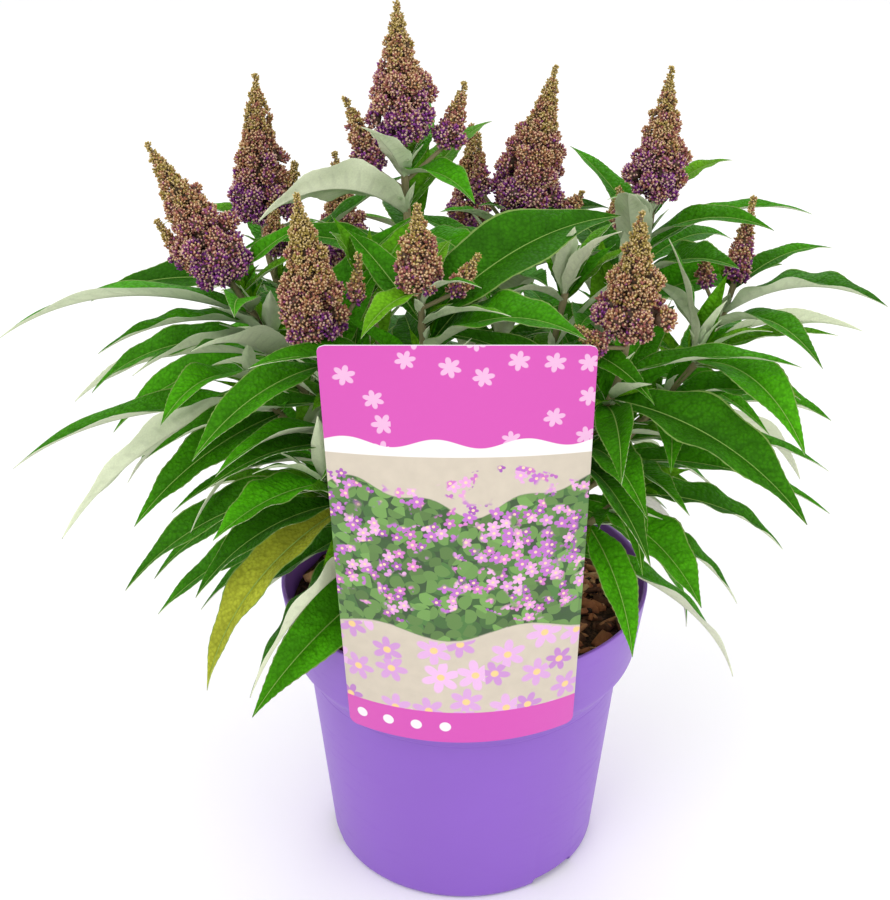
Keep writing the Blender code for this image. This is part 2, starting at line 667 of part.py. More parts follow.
def plan_plant():
    """Every shoot's mass. Limbs and spikes are placed first, then the leaves that show best, then the rest
    by turns, and a leaf that would touch another mass or a limb is moved a little or skipped."""
    rng = random.Random(PLANT_SEED)
    masses = []
    items = [item_of("wood", trunk_solid(CLEARANCE)), item_of("card", card_sheets(CLEARANCE))]
    for shoot in SHOOTS:
        path = limb_path(shoot)
        spikes = shoot_spikes(shoot, path)
        masses.append(Mass(shoot, path, spikes, []))
        if shoot.bare:
            items.append(item_of("wood", bough_solid(shoot, path, CLEARANCE)))
        items.append(item_of(shoot.name, stem_solid(shoot, path, CLEARANCE)))
        for spike, stalk in spikes:
            wide = spike._replace(radius=spike.radius + 2 * CLEARANCE)
            items.append(item_of(shoot.name, spike_solid(wide)))
            if stalk:
                items.append(item_of(shoot.name, stalk_solid(stalk, spike, CLEARANCE)))
    by_name = {mass.shoot.name: mass for mass in masses}
    for lead in LEADS:
        mass = by_name[lead.shoot]
        add_leaf(mass, leaf_to_tip(lead, at_share(mass.path, lead.share)[0]), items, rng, 14, 16)
    for mass in masses:
        for leaf in ruled_leaves(mass.shoot, mass.path, rng):
            add_leaf(mass, leaf, items, rng, 8, 38)
    for mass in masses:
        for leaf in tip_leaves(mass.shoot, mass.path, rng):
            add_leaf(mass, leaf, items, rng, 4, 30)
    return masses


def add_leaf(mass, leaf, items, rng, tries, spread):
    for tried in nudged(leaf, rng, tries, spread):
        item = leaf_fits(tried, mass.shoot.name, items)
        if item:
            mass.leaves.append(tried)
            items.append(item)
            return


def clear_scene():
    for obj in list(bpy.data.objects):
        bpy.data.objects.remove(obj)


def make_material(name, colour, roughness):
    material = bpy.data.materials.new(name)
    material.use_nodes = True
    shader = material.node_tree.nodes["Principled BSDF"]
    shader.inputs["Base Color"].default_value = (*colour, 1.0)
    shader.inputs["Roughness"].default_value = roughness
    shader.inputs["Metallic"].default_value = 0.0
    return material


def mesh_object(name, solid, material, collection):
    """A named object with a solid's points and faces."""
    points, faces = solid
    data = bpy.data.meshes.new(name)
    data.from_pydata(points, [], faces)
    data.materials.append(material)
    obj = bpy.data.objects.new(name, data)
    collection.objects.link(obj)
    return obj


def spun_object(name, profile, sides, material, collection):
    """A turned solid: (radius, height) points from the axis at the top, down the outside and back to the
    axis."""
    data = bpy.data.meshes.new(name)
    data.from_pydata([(r, 0, z) for r, z in profile], [(i, i + 1) for i in range(len(profile) - 1)], [])
    data.materials.append(material)
    obj = bpy.data.objects.new(name, data)
    collection.objects.link(obj)
    screw = obj.modifiers.new("Turn", "SCREW")
    screw.steps = screw.render_steps = sides
    screw.use_merge_vertices = True
    screw.merge_threshold = 0.00005
    screw.use_smooth_shade = True
    return obj


def apply_modifiers(obj):
    """Replaces an object's mesh by its evaluated one."""
    evaluated = obj.evaluated_get(bpy.context.evaluated_depsgraph_get())
    made = bpy.data.meshes.new_from_object(evaluated)
    obj.modifiers.clear()
    old = obj.data
    obj.data = made
    bpy.data.meshes.remove(old)


def add_cut(obj, cutter, solver="EXACT"):
    cut = obj.modifiers.new("Cut", "BOOLEAN")
    cut.operation = "DIFFERENCE"
    cut.object = cutter
    cut.solver = solver


def hide_helper(obj):
    obj.hide_render = True
    obj.display_type = "WIRE"


def make_pot(plastic, parts, cutters):
    """The turned shell with its band, lip and flat foot, and the drain slots cut into the foot."""
    band_foot = POT_HEIGHT - BAND_HEIGHT
    body_top = band_foot - BAND_SLOPE
    inner_top = POT_TOP_RADIUS - POT_WALL
    lip_foot = POT_HEIGHT - LIP_HEIGHT
    profile = [
        (0.0, POT_FLOOR),
        (POT_BASE_RADIUS - POT_WALL, POT_FLOOR),
        (BODY_TOP_RADIUS - POT_WALL, body_top + 0.0005),
        (BAND_FOOT_RADIUS - POT_WALL, band_foot + POT_WALL),
        (inner_top - 0.0008, lip_foot),
        (inner_top - 0.0002, POT_HEIGHT),
        (POT_TOP_RADIUS - 0.0004, POT_HEIGHT),
        (POT_TOP_RADIUS, POT_HEIGHT - 0.0008),
        (POT_TOP_RADIUS - 0.0005, lip_foot),
        (BAND_FOOT_RADIUS, band_foot + 0.001),
        (BAND_FOOT_RADIUS - 0.001, band_foot),
        (BODY_TOP_RADIUS, body_top),
        (POT_BASE_RADIUS + 0.0003, 0.003),
        (POT_BASE_RADIUS - 0.0022, 0.0),
        (0.0, 0.0),
    ]
    pot = spun_object("pot", profile, POT_SIDES, plastic, parts)
    bpy.context.view_layer.update()
    for i in range(DRAIN_SLOTS):
        turn = math.radians(DRAIN_SLOT_FIRST + 360.0 * i / DRAIN_SLOTS)
        middle = POT_BASE_RADIUS - DRAIN_SLOT_DEPTH / 2 + 0.004
        mesh = bmesh.new()
        bmesh.ops.create_cube(mesh, size=1.0)
        size = Matrix.Diagonal((DRAIN_SLOT_DEPTH + 0.008, DRAIN_SLOT_WIDTH, 2 * DRAIN_SLOT_HEIGHT, 1.0))
        bmesh.ops.transform(mesh, matrix=size, verts=mesh.verts)
        slot = bpy.data.objects.new("drain_slot_cutter", bpy.data.meshes.new("drain_slot_cutter"))
        mesh.to_mesh(slot.data)
        mesh.free()
        slot.matrix_world = Matrix.Rotation(turn, 4, "Z") @ Matrix.Translation((middle, 0, 0))
        cutters.objects.link(slot)
        hole = bpy.data.objects.new("drain_hole_cutter", bpy.data.meshes.new("drain_hole_cutter"))
        mesh = bmesh.new()
        bmesh.ops.create_cone(
            mesh, cap_ends=True, segments=12, radius1=DRAIN_HOLE_RADIUS, radius2=DRAIN_HOLE_RADIUS, depth=0.03
        )
        mesh.to_mesh(hole.data)
        mesh.free()
        hole.matrix_world = Matrix.Rotation(turn, 4, "Z") @ Matrix.Translation((middle - 0.006, 0, 0))
        cutters.objects.link(hole)
        for cutter in (slot, hole):
            hide_helper(cutter)
            add_cut(pot, cutter)
    return pot


def make_soil(compost, parts):
    """The compost that fills the pot to just under its lip, slightly mounded and flat where the trunk
    stands."""
    band_foot = POT_HEIGHT - BAND_HEIGHT
    gap = POT_WALL + 2 * CLEARANCE
    edge = SOIL_TOP - SOIL_EDGE_FALL
    edge_radius = pot_outer_radius(edge) - gap - 0.0004
    profile = [
        (0.0, SOIL_TOP),
        (TRUNK_FLARE_RADIUS + 0.008, SOIL_TOP),
        (edge_radius * 0.75, SOIL_TOP - 0.35 * SOIL_EDGE_FALL),
        (edge_radius, edge),
        (BAND_FOOT_RADIUS - gap, band_foot + 2 * POT_WALL),
        (BODY_TOP_RADIUS - gap, band_foot - BAND_SLOPE),
        (POT_BASE_RADIUS - gap, POT_FLOOR + CLEARANCE),
        (0.0, POT_FLOOR + CLEARANCE),
    ]
    return spun_object("soil", profile, POT_SIDES // 2, compost, parts)


def make_label(card, parts):
    """The card, curved at its foot and flat at its top, with the hook on its back that hangs it on the
    lip."""
    across, upward = 10, 6
    mesh = bmesh.new()
    rows = []
    for j in range(upward + 1):
        z = CARD_FOOT + CARD_HEIGHT * j / upward
        places = [(i / across - 0.5) * CARD_WIDTH for i in range(across + 1)]
        rows.append([mesh.verts.new(card_face(place, z)) for place in places])
    for low, high in zip(rows, rows[1:]):
        for i in range(across):
            mesh.faces.new((low[i], low[i + 1], high[i + 1], high[i]))
    data = bpy.data.meshes.new("label")
    mesh.to_mesh(data)
    mesh.free()
    data.materials.append(card)
    label = bpy.data.objects.new("label", data)
    parts.objects.link(label)
    thick = label.modifiers.new("Thickness", "SOLIDIFY")
    thick.thickness = CARD_THICKNESS
    thick.offset = -1.0
    bridge_foot = POT_HEIGHT + CLEARANCE
    card_back = 0.6 * CARD_THICKNESS - card_middle(bridge_foot)[1]
    outline = [
        (card_back, bridge_foot + HOOK_THICKNESS),
        (card_back, bridge_foot),
        (-HOOK_INNER_FACE, bridge_foot),
        (-HOOK_INNER_FACE, bridge_foot - HOOK_DROP),
        (-HOOK_INNER_FACE + HOOK_THICKNESS, bridge_foot - HOOK_DROP),
        (-HOOK_INNER_FACE + HOOK_THICKNESS, bridge_foot + HOOK_THICKNESS),
    ]
    mesh = bmesh.new()
    face = mesh.faces.new([mesh.verts.new((-HOOK_WIDTH / 2, y, z)) for y, z in outline])
    pushed = bmesh.ops.extrude_face_region(mesh, geom=[face])
    moved = [v for v in pushed["geom"] if isinstance(v, bmesh.types.BMVert)]
    bmesh.ops.translate(mesh, vec=(HOOK_WIDTH, 0, 0), verts=moved)
    bmesh.ops.recalc_face_normals(mesh, faces=mesh.faces)
    hook_data = bpy.data.meshes.new("hook")
    mesh.to_mesh(hook_data)
    mesh.free()
    hook = bpy.data.objects.new("hook", hook_data)
    bpy.context.scene.collection.objects.link(hook)
    join = label.modifiers.new("Hook", "BOOLEAN")
    join.operation = "UNION"
    join.object = hook
    bpy.context.view_layer.update()
    apply_modifiers(label)
    bpy.data.objects.remove(hook)
    return label


def trunk_solid(swell=0.0):
    """(points, faces) of the short stool with its root flare, from a flat cut on the soil to its rounded
    top."""
    foot = Vector((0, 0, SOIL_TOP + CLEARANCE - swell))
    rings = (
        (0.0, TRUNK_FLARE_RADIUS),
        (0.08, TRUNK_FLARE_RADIUS * 0.82),
        (0.20, TRUNK_RADIUS * 1.04),
        (0.50, TRUNK_RADIUS),
        (0.80, TRUNK_RADIUS * 0.98),
        (0.95, TRUNK_RADIUS * 0.80),
        (1.0, TRUNK_RADIUS * 0.45),
    )
    points = [foot + TRUNK_LEAN * ((TRUNK_HEIGHT + 2 * swell) * share) for share, _ in rings]
    points[0].z = foot.z
    return tube_solid(points, [radius + swell for _, radius in rings], 12)


def make_wood(masses, bark, parts, cutters):
    """The trunk, and each bare bough as one tapering limb that is cut clear of the trunk."""
    mesh_object("trunk", trunk_solid(), bark, parts)
    clear_of_trunk = mesh_object("trunk_cutter", trunk_solid(CLEARANCE), bark, cutters)
    hide_helper(clear_of_trunk)
    for mass in masses:
        if mass.shoot.bare:
            name = mass.shoot.name.replace("shoot", "bough")
            bough = mesh_object(name, bough_solid(mass.shoot, mass.path), bark, parts)
            add_cut(bough, clear_of_trunk)
    return clear_of_trunk


def make_mass(mass, clear_of_trunk, foliage, parts):
    """One shoot's node: its stem, with its twigs, leaves and spikes joined on by one Boolean union."""
    name = mass.shoot.name
    joined = bpy.data.collections.new(name + "_joined")
    bpy.context.scene.collection.children.link(joined)
    stem = mesh_object(name, stem_solid(mass.shoot, mass.path), foliage, parts)
    if not mass.shoot.bare:
        add_cut(stem, clear_of_trunk)
        bpy.context.view_layer.update()
        apply_modifiers(stem)
    for i, leaf in enumerate(mass.leaves):
        mesh_object(f"{name}_leaf_{i}", leaf_solid(leaf), foliage, joined)
    for i, (spike, stalk) in enumerate(mass.spikes):
        mesh_object(f"{name}_spike_{i}", spike_solid(spike), foliage, joined)
        if stalk:
            mesh_object(f"{name}_stalk_{i}", stalk_solid(stalk, spike), foliage, joined)
    join = stem.modifiers.new("Join", "BOOLEAN")
    join.operation = "UNION"
    join.operand_type = "COLLECTION"
    join.collection = joined
    join.solver = "MANIFOLD"
    bpy.context.view_layer.update()
    apply_modifiers(stem)
    for obj in list(joined.objects):
        bpy.data.objects.remove(obj)
    bpy.data.collections.remove(joined)
    return stem


def main():
    clear_scene()
    parts = bpy.data.collections.new("butterfly_bush")
    cutters = bpy.data.collections.new("cutters")
    for collection in (parts, cutters):
        bpy.context.scene.collection.children.link(collection)
    plastic = make_material("purple_plastic", (0.30, 0.13, 0.60), 0.42)
    compost = make_material("bark_compost", (0.06, 0.03, 0.018), 0.95)
    card = make_material("printed_card", (0.70, 0.17, 0.50), 0.35)
    bark = make_material("stem_bark", (0.22, 0.16, 0.10), 0.80)
    foliage = make_material("leaf_green", (0.07, 0.20, 0.035), 0.50)
    make_pot(plastic, parts, cutters)
    make_soil(compost, parts)
    make_label(card, parts)
    masses = plan_plant()
    clear_of_trunk = make_wood(masses, bark, parts, cutters)
    for mass in masses:
        make_mass(mass, clear_of_trunk, foliage, parts)


main()
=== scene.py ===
"""A young butterfly bush in its growers' pot: leaves, flower spikes, wood, compost, card label and pot.

Everything is in metres, +Z up, and the label's side of the plant faces -Y. Angles in the tables are in
degrees. A heading is measured anticlockwise from +X, seen from above.
"""

import math
import random
from typing import NamedTuple

import bmesh
import bpy
import numpy as np
from bpy.props import FloatProperty, FloatVectorProperty, IntProperty, PointerProperty
from mathutils import Matrix, Vector, noise
from mathutils.bvhtree import BVHTree


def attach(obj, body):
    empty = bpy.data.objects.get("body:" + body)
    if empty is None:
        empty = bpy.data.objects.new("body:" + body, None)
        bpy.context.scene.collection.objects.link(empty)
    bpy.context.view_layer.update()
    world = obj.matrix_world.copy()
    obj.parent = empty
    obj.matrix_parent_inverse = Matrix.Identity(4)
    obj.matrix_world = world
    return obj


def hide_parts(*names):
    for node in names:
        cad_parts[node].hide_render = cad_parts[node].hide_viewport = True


bl_info = {
    "name": "Potted Butterfly Bush",
    "version": (1, 0, 0),
    "blender": (4, 5, 0),
    "location": "3D View > Sidebar > Bush",
    "description": "Builds a young butterfly bush with its flower spikes, compost, card label and pot",
    "category": "Add Mesh",
}

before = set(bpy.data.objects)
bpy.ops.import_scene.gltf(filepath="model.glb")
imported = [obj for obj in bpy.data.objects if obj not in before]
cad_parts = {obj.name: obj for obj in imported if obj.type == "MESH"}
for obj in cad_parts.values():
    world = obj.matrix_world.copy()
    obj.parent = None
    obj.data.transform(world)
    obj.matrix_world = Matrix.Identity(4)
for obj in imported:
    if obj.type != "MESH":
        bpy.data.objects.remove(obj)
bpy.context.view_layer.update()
BODY = "root"
PLAN = []

# Driving sizes of the pot
POT_HEIGHT = 0.157
POT_TOP_RADIUS = 0.095
POT_BASE_RADIUS = 0.0712
POT_WALL = 0.002
BAND_HEIGHT = 0.037
BAND_FOOT_RADIUS = 0.0896
BAND_SLOPE = 0.0095
BODY_TOP_RADIUS = 0.0822
LIP_HEIGHT = 0.0035
POT_FLOOR = 0.008
DRAIN_SLOTS = 3
DRAIN_SLOT_HEIGHT = 0.0045
DRAIN_SLOT_WIDTH = 0.028
DRAIN_SLOT_DEPTH = 0.016
DRAIN_SLOT_FIRST = -48.0
DRAIN_HOLE_RADIUS = 0.005

# Driving sizes of the soil
SOIL_TOP = 0.146
SOIL_EDGE_FALL = 0.006
CLEARANCE = 0.0003

# Driving sizes of the card label
CARD_WIDTH = 0.1155
CARD_FOOT = 0.1195
CARD_HEIGHT = 0.212
CARD_THICKNESS = 0.0008
CARD_FOOT_FRONT = 0.0940
CARD_LEAN = 3.65
CARD_FLATTENING = 0.7
CARD_FOOT_X = -0.002
CARD_TOP_X = -0.005
HOOK_WIDTH = 0.016
HOOK_THICKNESS = 0.0010
HOOK_DROP = 0.0125
HOOK_INNER_FACE = 0.0885

# Layout of the card's print, in metres from its lower left corner
HEDGE_FOOT = 0.064
HEDGE_HEAD = 0.138
BLOOM_FOOT = 0.074
BLOOM_HEAD = 0.149
WHITE_STRIP = 0.163
HEAD_BAND_FOOT = 0.165
FOOT_BAND_HEAD = 0.0185
DOT_HEIGHT = 0.0095
DOT_STEP = 0.0140
FIRST_DOT = 0.008
LAST_DOT = 0.060

# cell, size and green of each layer of the print's leaves, and the places and tints of its flowers
HEDGE_LEAVES = (
    (0.0105, 0.0105, (0.045, 0.13, 0.025)),
    (0.0088, 0.0092, (0.12, 0.25, 0.055)),
)
BLOOM_TINTS = (
    (0.15, (0.36, 0.09, 0.44)),
    (0.40, (0.66, 0.20, 0.56)),
    (0.62, (0.80, 0.42, 0.72)),
    (0.85, (0.50, 0.15, 0.56)),
)

# Driving sizes of the wood
TRUNK_HEIGHT = 0.046
TRUNK_RADIUS = 0.0080
TRUNK_FLARE_RADIUS = 0.0125
TRUNK_LEAN = Vector((0.002, 0.001, 1.0)).normalized()
BOUGH_FOOT_OFFSET = 0.0055
BOUGH_FOOT_RADIUS = 0.0028
BOUGH_TIP_RADIUS = 0.0023
STEM_TIP_RADIUS = 0.0014
TWIG_RADIUS = 0.0012

# Driving sizes of the leaves
LEAF_LENGTH = 0.118
LEAF_SLENDERNESS = 4.3
LEAF_THICKNESS_SHARE = 0.011
LEAF_FOLD = 20.0
LEAF_STATIONS = (0.15, 0.42, 0.74)
MIDRIB_STEPS = 24
PLANT_SEED = 41
CROWN_REACH = 0.226
LOWEST_LEAF = 0.125
LEAF_GAP = 0.0009
RIM_GAP = 0.0028

# How often a leaf that doesn't fit is tried again, and how many degrees it may turn
LEAD_TRIES = 14
LEAD_SPREAD = 16
RULED_TRIES = 8
RULED_SPREAD = 38
TIP_TRIES = 4
TIP_SPREAD = 30

# Driving sizes of the spikes, and how finely a limb is cut up
SPIKE_TIER = 0.0115
SPIKE_TIP_RADIUS = 0.0014
STALK_IN_SPIKE = 0.006
BOUGH_TO_STEM_GAP = 0.0004
SEGMENTS_PER_BOUGH = 5
SEGMENTS_PER_STEM = 6

# Sizes of the fine shapes
STEPS_ROUND_POT = 144
STEPS_ROUND_BED = 120
BED_RINGS = 26
BED_FALL_POWER = 1.6
LIMB_STEPS = 40
STEM_STEPS = 22
LEAF_ROW_SLANT = 0.36
QUILTING_HEIGHT = 0.00017
TOOTH_OUT = 0.00026
TOOTH_IN = 0.00014
MIDRIB_HALF_WIDTH = 0.00042
BLADE_THICKNESS = 0.00030
KEEL_DEPTH = 0.0011
FRAME_STEPS = 96
BUD_SIDES = 4
BUD_RINGS = ((-0.55, 0.0), (-0.15, 0.42), (0.38, 0.44), (0.72, 0.0))
PIECE_LIMIT = 190000

# The tufts of young leaves
TUFT_HANDS = (-1, 1, 2.2)
TUFTS_LEFT_OUT = 0.24
LEAST_TUFT = 0.014
TUFT_RANGE = 0.042
SPIKE_SURROUND = 0.030
SHORT_TUFT = 0.019

# The clusters of buds in a spike. A tier that reaches out further than the first number has that many
# clusters round it, and a thinner one is a single whorl. The spikes in front are less ripe
CLUSTERS_IN_A_TIER = ((0.0080, 7), (0.0045, 6), (0.0019, 4))
LEAST_REACH = 0.0017
CLUSTER_SHARE = 0.36
LEAST_CLUSTER = 0.0012
INNER_CLUSTER_SHARE = 0.56
STANDING_OUT = 0.30
TIER_STEP = 1.72
WHORL_STEP = 0.0016
HEART_SHARE = 0.78
YOUNG_SPIKE = -0.17
YOUNG_SPIKES_BEFORE = -0.010

# Which leaves are young, by their length, and where the yellowed one ends
SHORT_LEAF = 0.062
MIDDLING_LEAF = 0.085
YELLOWED_LEAF_TIP = Vector((-0.120, -0.104, 0.156))
YELLOWED_WITHIN = 0.018

# The bark chips, and the seeds of all that is drawn at random
CHIP_KINDS = 6
CHIP_WEIGHTS = (4, 4, 3, 1.8, 2)
CHIP_SEED = 9
TINT_SEED = 77
TUFT_SEED = 5
SPIKE_SEED = 23

# Where the camera stood, and its lens, and what the lamps point at
CAMERA_TARGET = Vector((-0.010, 0.0, 0.2285))
CAMERA_PLACE = Vector((-0.010, -0.694, 0.584))
CAMERA_LENS = 62.4
LIGHT_TARGET = Vector((0, 0, 0.22))


class Spike(NamedTuple):
    """A flower spike: where its base is, where it leans, and its size."""

    base: Vector
    direction: Vector
    length: float
    radius: float


class Leaf(NamedTuple):
    """A leaf: its root on a stem, the heading and rise it starts with, and how far it droops and turns
    aside."""

    root: Vector
    heading: float
    rise: float
    droop: float
    length: float
    width: float
    sweep: float = 0.0
    roll: float = 0.0


class Shoot(NamedTuple):
    """A leafy shoot. head is where its stem ends, below the spike if it has one. foot is how far up the
    trunk its limb starts, and bare is the share of the limb that is a bough."""

    name: str
    head: tuple
    foot: float
    bare: float
    lean_heading: float
    lean: float
    spike_length: float
    spike_radius: float
    pairs: int
    turn: float
    leaf: float


class Side(NamedTuple):
    """A small spike on a stalk of its own beside a shoot's head."""

    shoot: str
    share: float
    heading: float
    rise: float
    stalk: float
    length: float
    radius: float


class Lead(NamedTuple):
    """A leaf that shows well, so its tip is given and not left to the rule. Its root is at a share of a
    stem."""

    shoot: str
    share: float
    tip: tuple
    droop: float
    width: float
    roll: float = 0.0


# name, head, foot, bare, lean_heading, lean, spike_length, spike_radius, pairs, turn, leaf
SHOOTS = (
    Shoot("shoot_far_left", (-0.112, -0.010, 0.327), 0.029, 0.42, 182, 27, 0.068, 0.0180, 6, 5, 0.98),
    Shoot("shoot_back_left", (-0.101, 0.050, 0.336), 0.036, 0.42, 90, 3, 0.067, 0.0185, 6, 40, 0.95),
    Shoot("shoot_top", (-0.030, 0.030, 0.381), 0.045, 0.48, 180, 2, 0.062, 0.0190, 6, 75, 0.80),
    Shoot("shoot_back_mid", (0.028, 0.050, 0.338), 0.045, 0.48, 0, 12, 0.072, 0.0200, 5, 20, 0.85),
    Shoot("shoot_back_right", (0.094, 0.050, 0.346), 0.036, 0.42, 20, 4, 0.061, 0.0160, 6, 30, 0.95),
    Shoot("shoot_far_right", (0.133, 0.028, 0.310), 0.029, 0.42, 10, 8, 0.041, 0.0075, 6, 15, 0.98),
    Shoot("shoot_front_left", (-0.067, -0.050, 0.314), 0.015, 0.44, 190, 6, 0.064, 0.0180, 5, 35, 0.90),
    Shoot("shoot_front_mid", (-0.021, -0.052, 0.338), 0.036, 0.50, 250, 4, 0.036, 0.0135, 5, 60, 0.70),
    Shoot("shoot_front_right", (0.073, -0.042, 0.310), 0.029, 0.44, 40, 4, 0.056, 0.0182, 5, 10, 0.90),
    Shoot("shoot_rear_left", (-0.064, 0.112, 0.288), 0.022, 0.42, 115, 12, 0.058, 0.0150, 6, 25, 0.98),
    Shoot("shoot_rear", (0.003, 0.108, 0.305), 0.029, 0.42, 80, 6, 0.058, 0.0140, 6, 0, 0.95),
    Shoot("shoot_rear_right", (0.080, 0.108, 0.282), 0.022, 0.42, 50, 12, 0.056, 0.0150, 6, 50, 0.98),
    Shoot("spray_left", (-0.104, -0.030, 0.284), 0.022, 0.0, 195, 35, 0.0, 0.0, 5, 10, 1.00),
    Shoot("spray_right", (0.112, -0.012, 0.284), 0.022, 0.0, 350, 35, 0.0, 0.0, 5, 70, 1.00),
    Shoot("spray_front_left", (-0.066, -0.066, 0.246), 0.008, 0.0, 225, 40, 0.0, 0.0, 5, 80, 1.00),
    Shoot("spray_front", (0.010, -0.074, 0.262), 0.015, 0.0, 270, 20, 0.0, 0.0, 4, 30, 0.90),
    Shoot("spray_front_right", (0.076, -0.062, 0.240), 0.008, 0.0, 320, 40, 0.0, 0.0, 5, 20, 1.00),
    Shoot("spray_low_left", (-0.070, 0.012, 0.206), 0.015, 0.0, 170, 60, 0.0, 0.0, 4, 22, 1.00),
    Shoot("spray_low_right", (0.072, 0.016, 0.204), 0.015, 0.0, 10, 60, 0.0, 0.0, 4, 60, 1.00),
    Shoot("spray_rear_left", (-0.088, 0.080, 0.240), 0.008, 0.0, 140, 45, 0.0, 0.0, 5, 50, 1.00),
    Shoot("spray_rear", (0.008, 0.112, 0.225), 0.015, 0.0, 90, 45, 0.0, 0.0, 5, 35, 1.00),
    Shoot("spray_mid_left", (-0.046, -0.018, 0.322), 0.044, 0.0, 200, 10, 0.0, 0.0, 4, 15, 0.85),
    Shoot("spray_mid_right", (0.046, -0.014, 0.318), 0.044, 0.0, 340, 10, 0.0, 0.0, 4, 65, 0.85),
    Shoot("spray_rear_right", (0.100, 0.072, 0.238), 0.008, 0.0, 40, 45, 0.0, 0.0, 5, 5, 1.00),
)

# shoot, share of the stem, heading, rise, stalk, length, radius
SIDES = (
    Side("shoot_top", 0.86, 195, 38, 0.020, 0.036, 0.0095),
    Side("shoot_top", 0.88, 5, 42, 0.027, 0.030, 0.0090),
    Side("shoot_far_left", 0.95, 180, 28, 0.025, 0.024, 0.0060),
    Side("shoot_back_left", 0.95, 355, 45, 0.017, 0.024, 0.0080),
    Side("shoot_back_left", 0.82, 280, 60, 0.022, 0.024, 0.0080),
    Side("shoot_front_left", 0.93, 5, 58, 0.030, 0.022, 0.0045),
    Side("shoot_front_mid", 0.92, 355, 28, 0.017, 0.020, 0.0065),
    Side("shoot_front_right", 0.95, 205, 12, 0.014, 0.018, 0.0070),
    Side("shoot_back_mid", 0.90, 190, 55, 0.030, 0.030, 0.0055),
    Side("shoot_back_mid", 0.92, 355, 22, 0.026, 0.014, 0.0080),
    Side("shoot_back_right", 0.88, 200, 40, 0.014, 0.020, 0.0080),
    Side("shoot_far_right", 0.88, 220, 58, 0.026, 0.020, 0.0055),
    Side("shoot_rear", 0.86, 60, 45, 0.016, 0.022, 0.0070),
    Side("shoot_rear_left", 0.86, 160, 45, 0.016, 0.024, 0.0070),
    Side("shoot_rear_right", 0.86, 20, 45, 0.016, 0.022, 0.0070),
)

# shoot, share of the stem, tip, droop, width, roll
LEADS = (
    Lead("shoot_far_left", 0.87, (-0.216, -0.032, 0.302), 60, 0.027, 18),
    Lead("shoot_far_left", 0.84, (-0.168, -0.045, 0.300), 50, 0.020, 12),
    Lead("shoot_far_left", 0.78, (-0.150, -0.060, 0.296), 48, 0.020, 30),
    Lead("shoot_far_left", 0.74, (-0.196, 0.012, 0.249), 50, 0.018, 40),
    Lead("spray_left", 0.97, (-0.133, -0.090, 0.286), 70, 0.022),
    Lead("spray_left", 0.84, (-0.220, -0.026, 0.231), 46, 0.026, 5),
    Lead("spray_left", 0.92, (-0.188, -0.082, 0.222), 50, 0.024, 75),
    Lead("spray_left", 0.68, (-0.124, -0.092, 0.233), 80, 0.010, 60),
    Lead("spray_left", 0.60, (-0.134, -0.080, 0.237), 50, 0.014, 10),
    Lead("shoot_front_left", 0.90, (-0.117, -0.112, 0.280), 45, 0.022, -10),
    Lead("shoot_front_left", 0.78, (-0.150, -0.072, 0.268), 40, 0.022),
    Lead("shoot_front_left", 0.62, (-0.114, -0.104, 0.262), 45, 0.020),
    Lead("spray_front_left", 0.96, (-0.154, -0.100, 0.208), 55, 0.028),
    Lead("spray_front_left", 0.84, (-0.123, -0.098, 0.203), 60, 0.024),
    Lead("spray_front_left", 0.99, (-0.106, -0.114, 0.233), 45, 0.026),
    Lead("spray_front_left", 0.50, (-0.098, -0.122, 0.165), 65, 0.031, 50),
    Lead("spray_front_left", 0.82, (-0.120, -0.104, 0.156), 65, 0.026),
    Lead("spray_front_left", 0.74, (-0.150, -0.072, 0.170), 45, 0.024),
    Lead("shoot_far_right", 0.90, (0.196, -0.020, 0.313), 62, 0.032, -8),
    Lead("shoot_far_right", 0.86, (0.158, -0.062, 0.300), 60, 0.020),
    Lead("shoot_far_right", 0.76, (0.186, 0.022, 0.281), 40, 0.016),
    Lead("shoot_far_right", 0.82, (0.195, 0.006, 0.281), 46, 0.014, -60),
    Lead("spray_right", 0.98, (0.147, -0.092, 0.272), 72, 0.026, 8),
    Lead("spray_right", 0.84, (0.172, -0.036, 0.262), 50, 0.030),
    Lead("spray_right", 0.72, (0.192, 0.040, 0.226), 42, 0.015),
    Lead("spray_right", 0.64, (0.184, 0.000, 0.216), 45, 0.021),
    Lead("spray_right", 0.54, (0.180, -0.026, 0.206), 45, 0.023),
    Lead("shoot_front_right", 0.78, (0.149, -0.102, 0.243), 50, 0.036, 10),
    Lead("shoot_front_right", 0.58, (0.077, -0.112, 0.252), 55, 0.024),
    Lead("spray_front_right", 0.96, (0.150, -0.060, 0.206), 52, 0.024),
    Lead("spray_front_right", 0.84, (0.106, -0.100, 0.199), 55, 0.029),
    Lead("spray_front_right", 0.72, (0.077, -0.094, 0.168), 62, 0.019),
    Lead("shoot_front_mid", 0.86, (0.072, -0.004, 0.352), 46, 0.038, 20),
    Lead("shoot_front_mid", 0.78, (0.050, -0.092, 0.327), 66, 0.032, 10),
    Lead("shoot_front_mid", 0.54, (-0.094, -0.092, 0.314), 65, 0.034),
    Lead("shoot_front_mid", 0.97, (-0.046, -0.084, 0.324), 55, 0.015),
    Lead("shoot_back_right", 0.84, (0.176, 0.060, 0.331), 60, 0.016),
    Lead("shoot_back_right", 0.74, (0.126, -0.018, 0.331), 50, 0.028, 15),
    Lead("shoot_top", 0.80, (-0.095, -0.020, 0.354), 74, 0.028, 55),
    Lead("shoot_top", 0.90, (0.004, -0.012, 0.360), 58, 0.022),
    Lead("shoot_back_mid", 0.86, (0.078, 0.080, 0.335), 62, 0.020),
    Lead("shoot_back_left", 0.74, (-0.086, -0.016, 0.308), 60, 0.020),
)


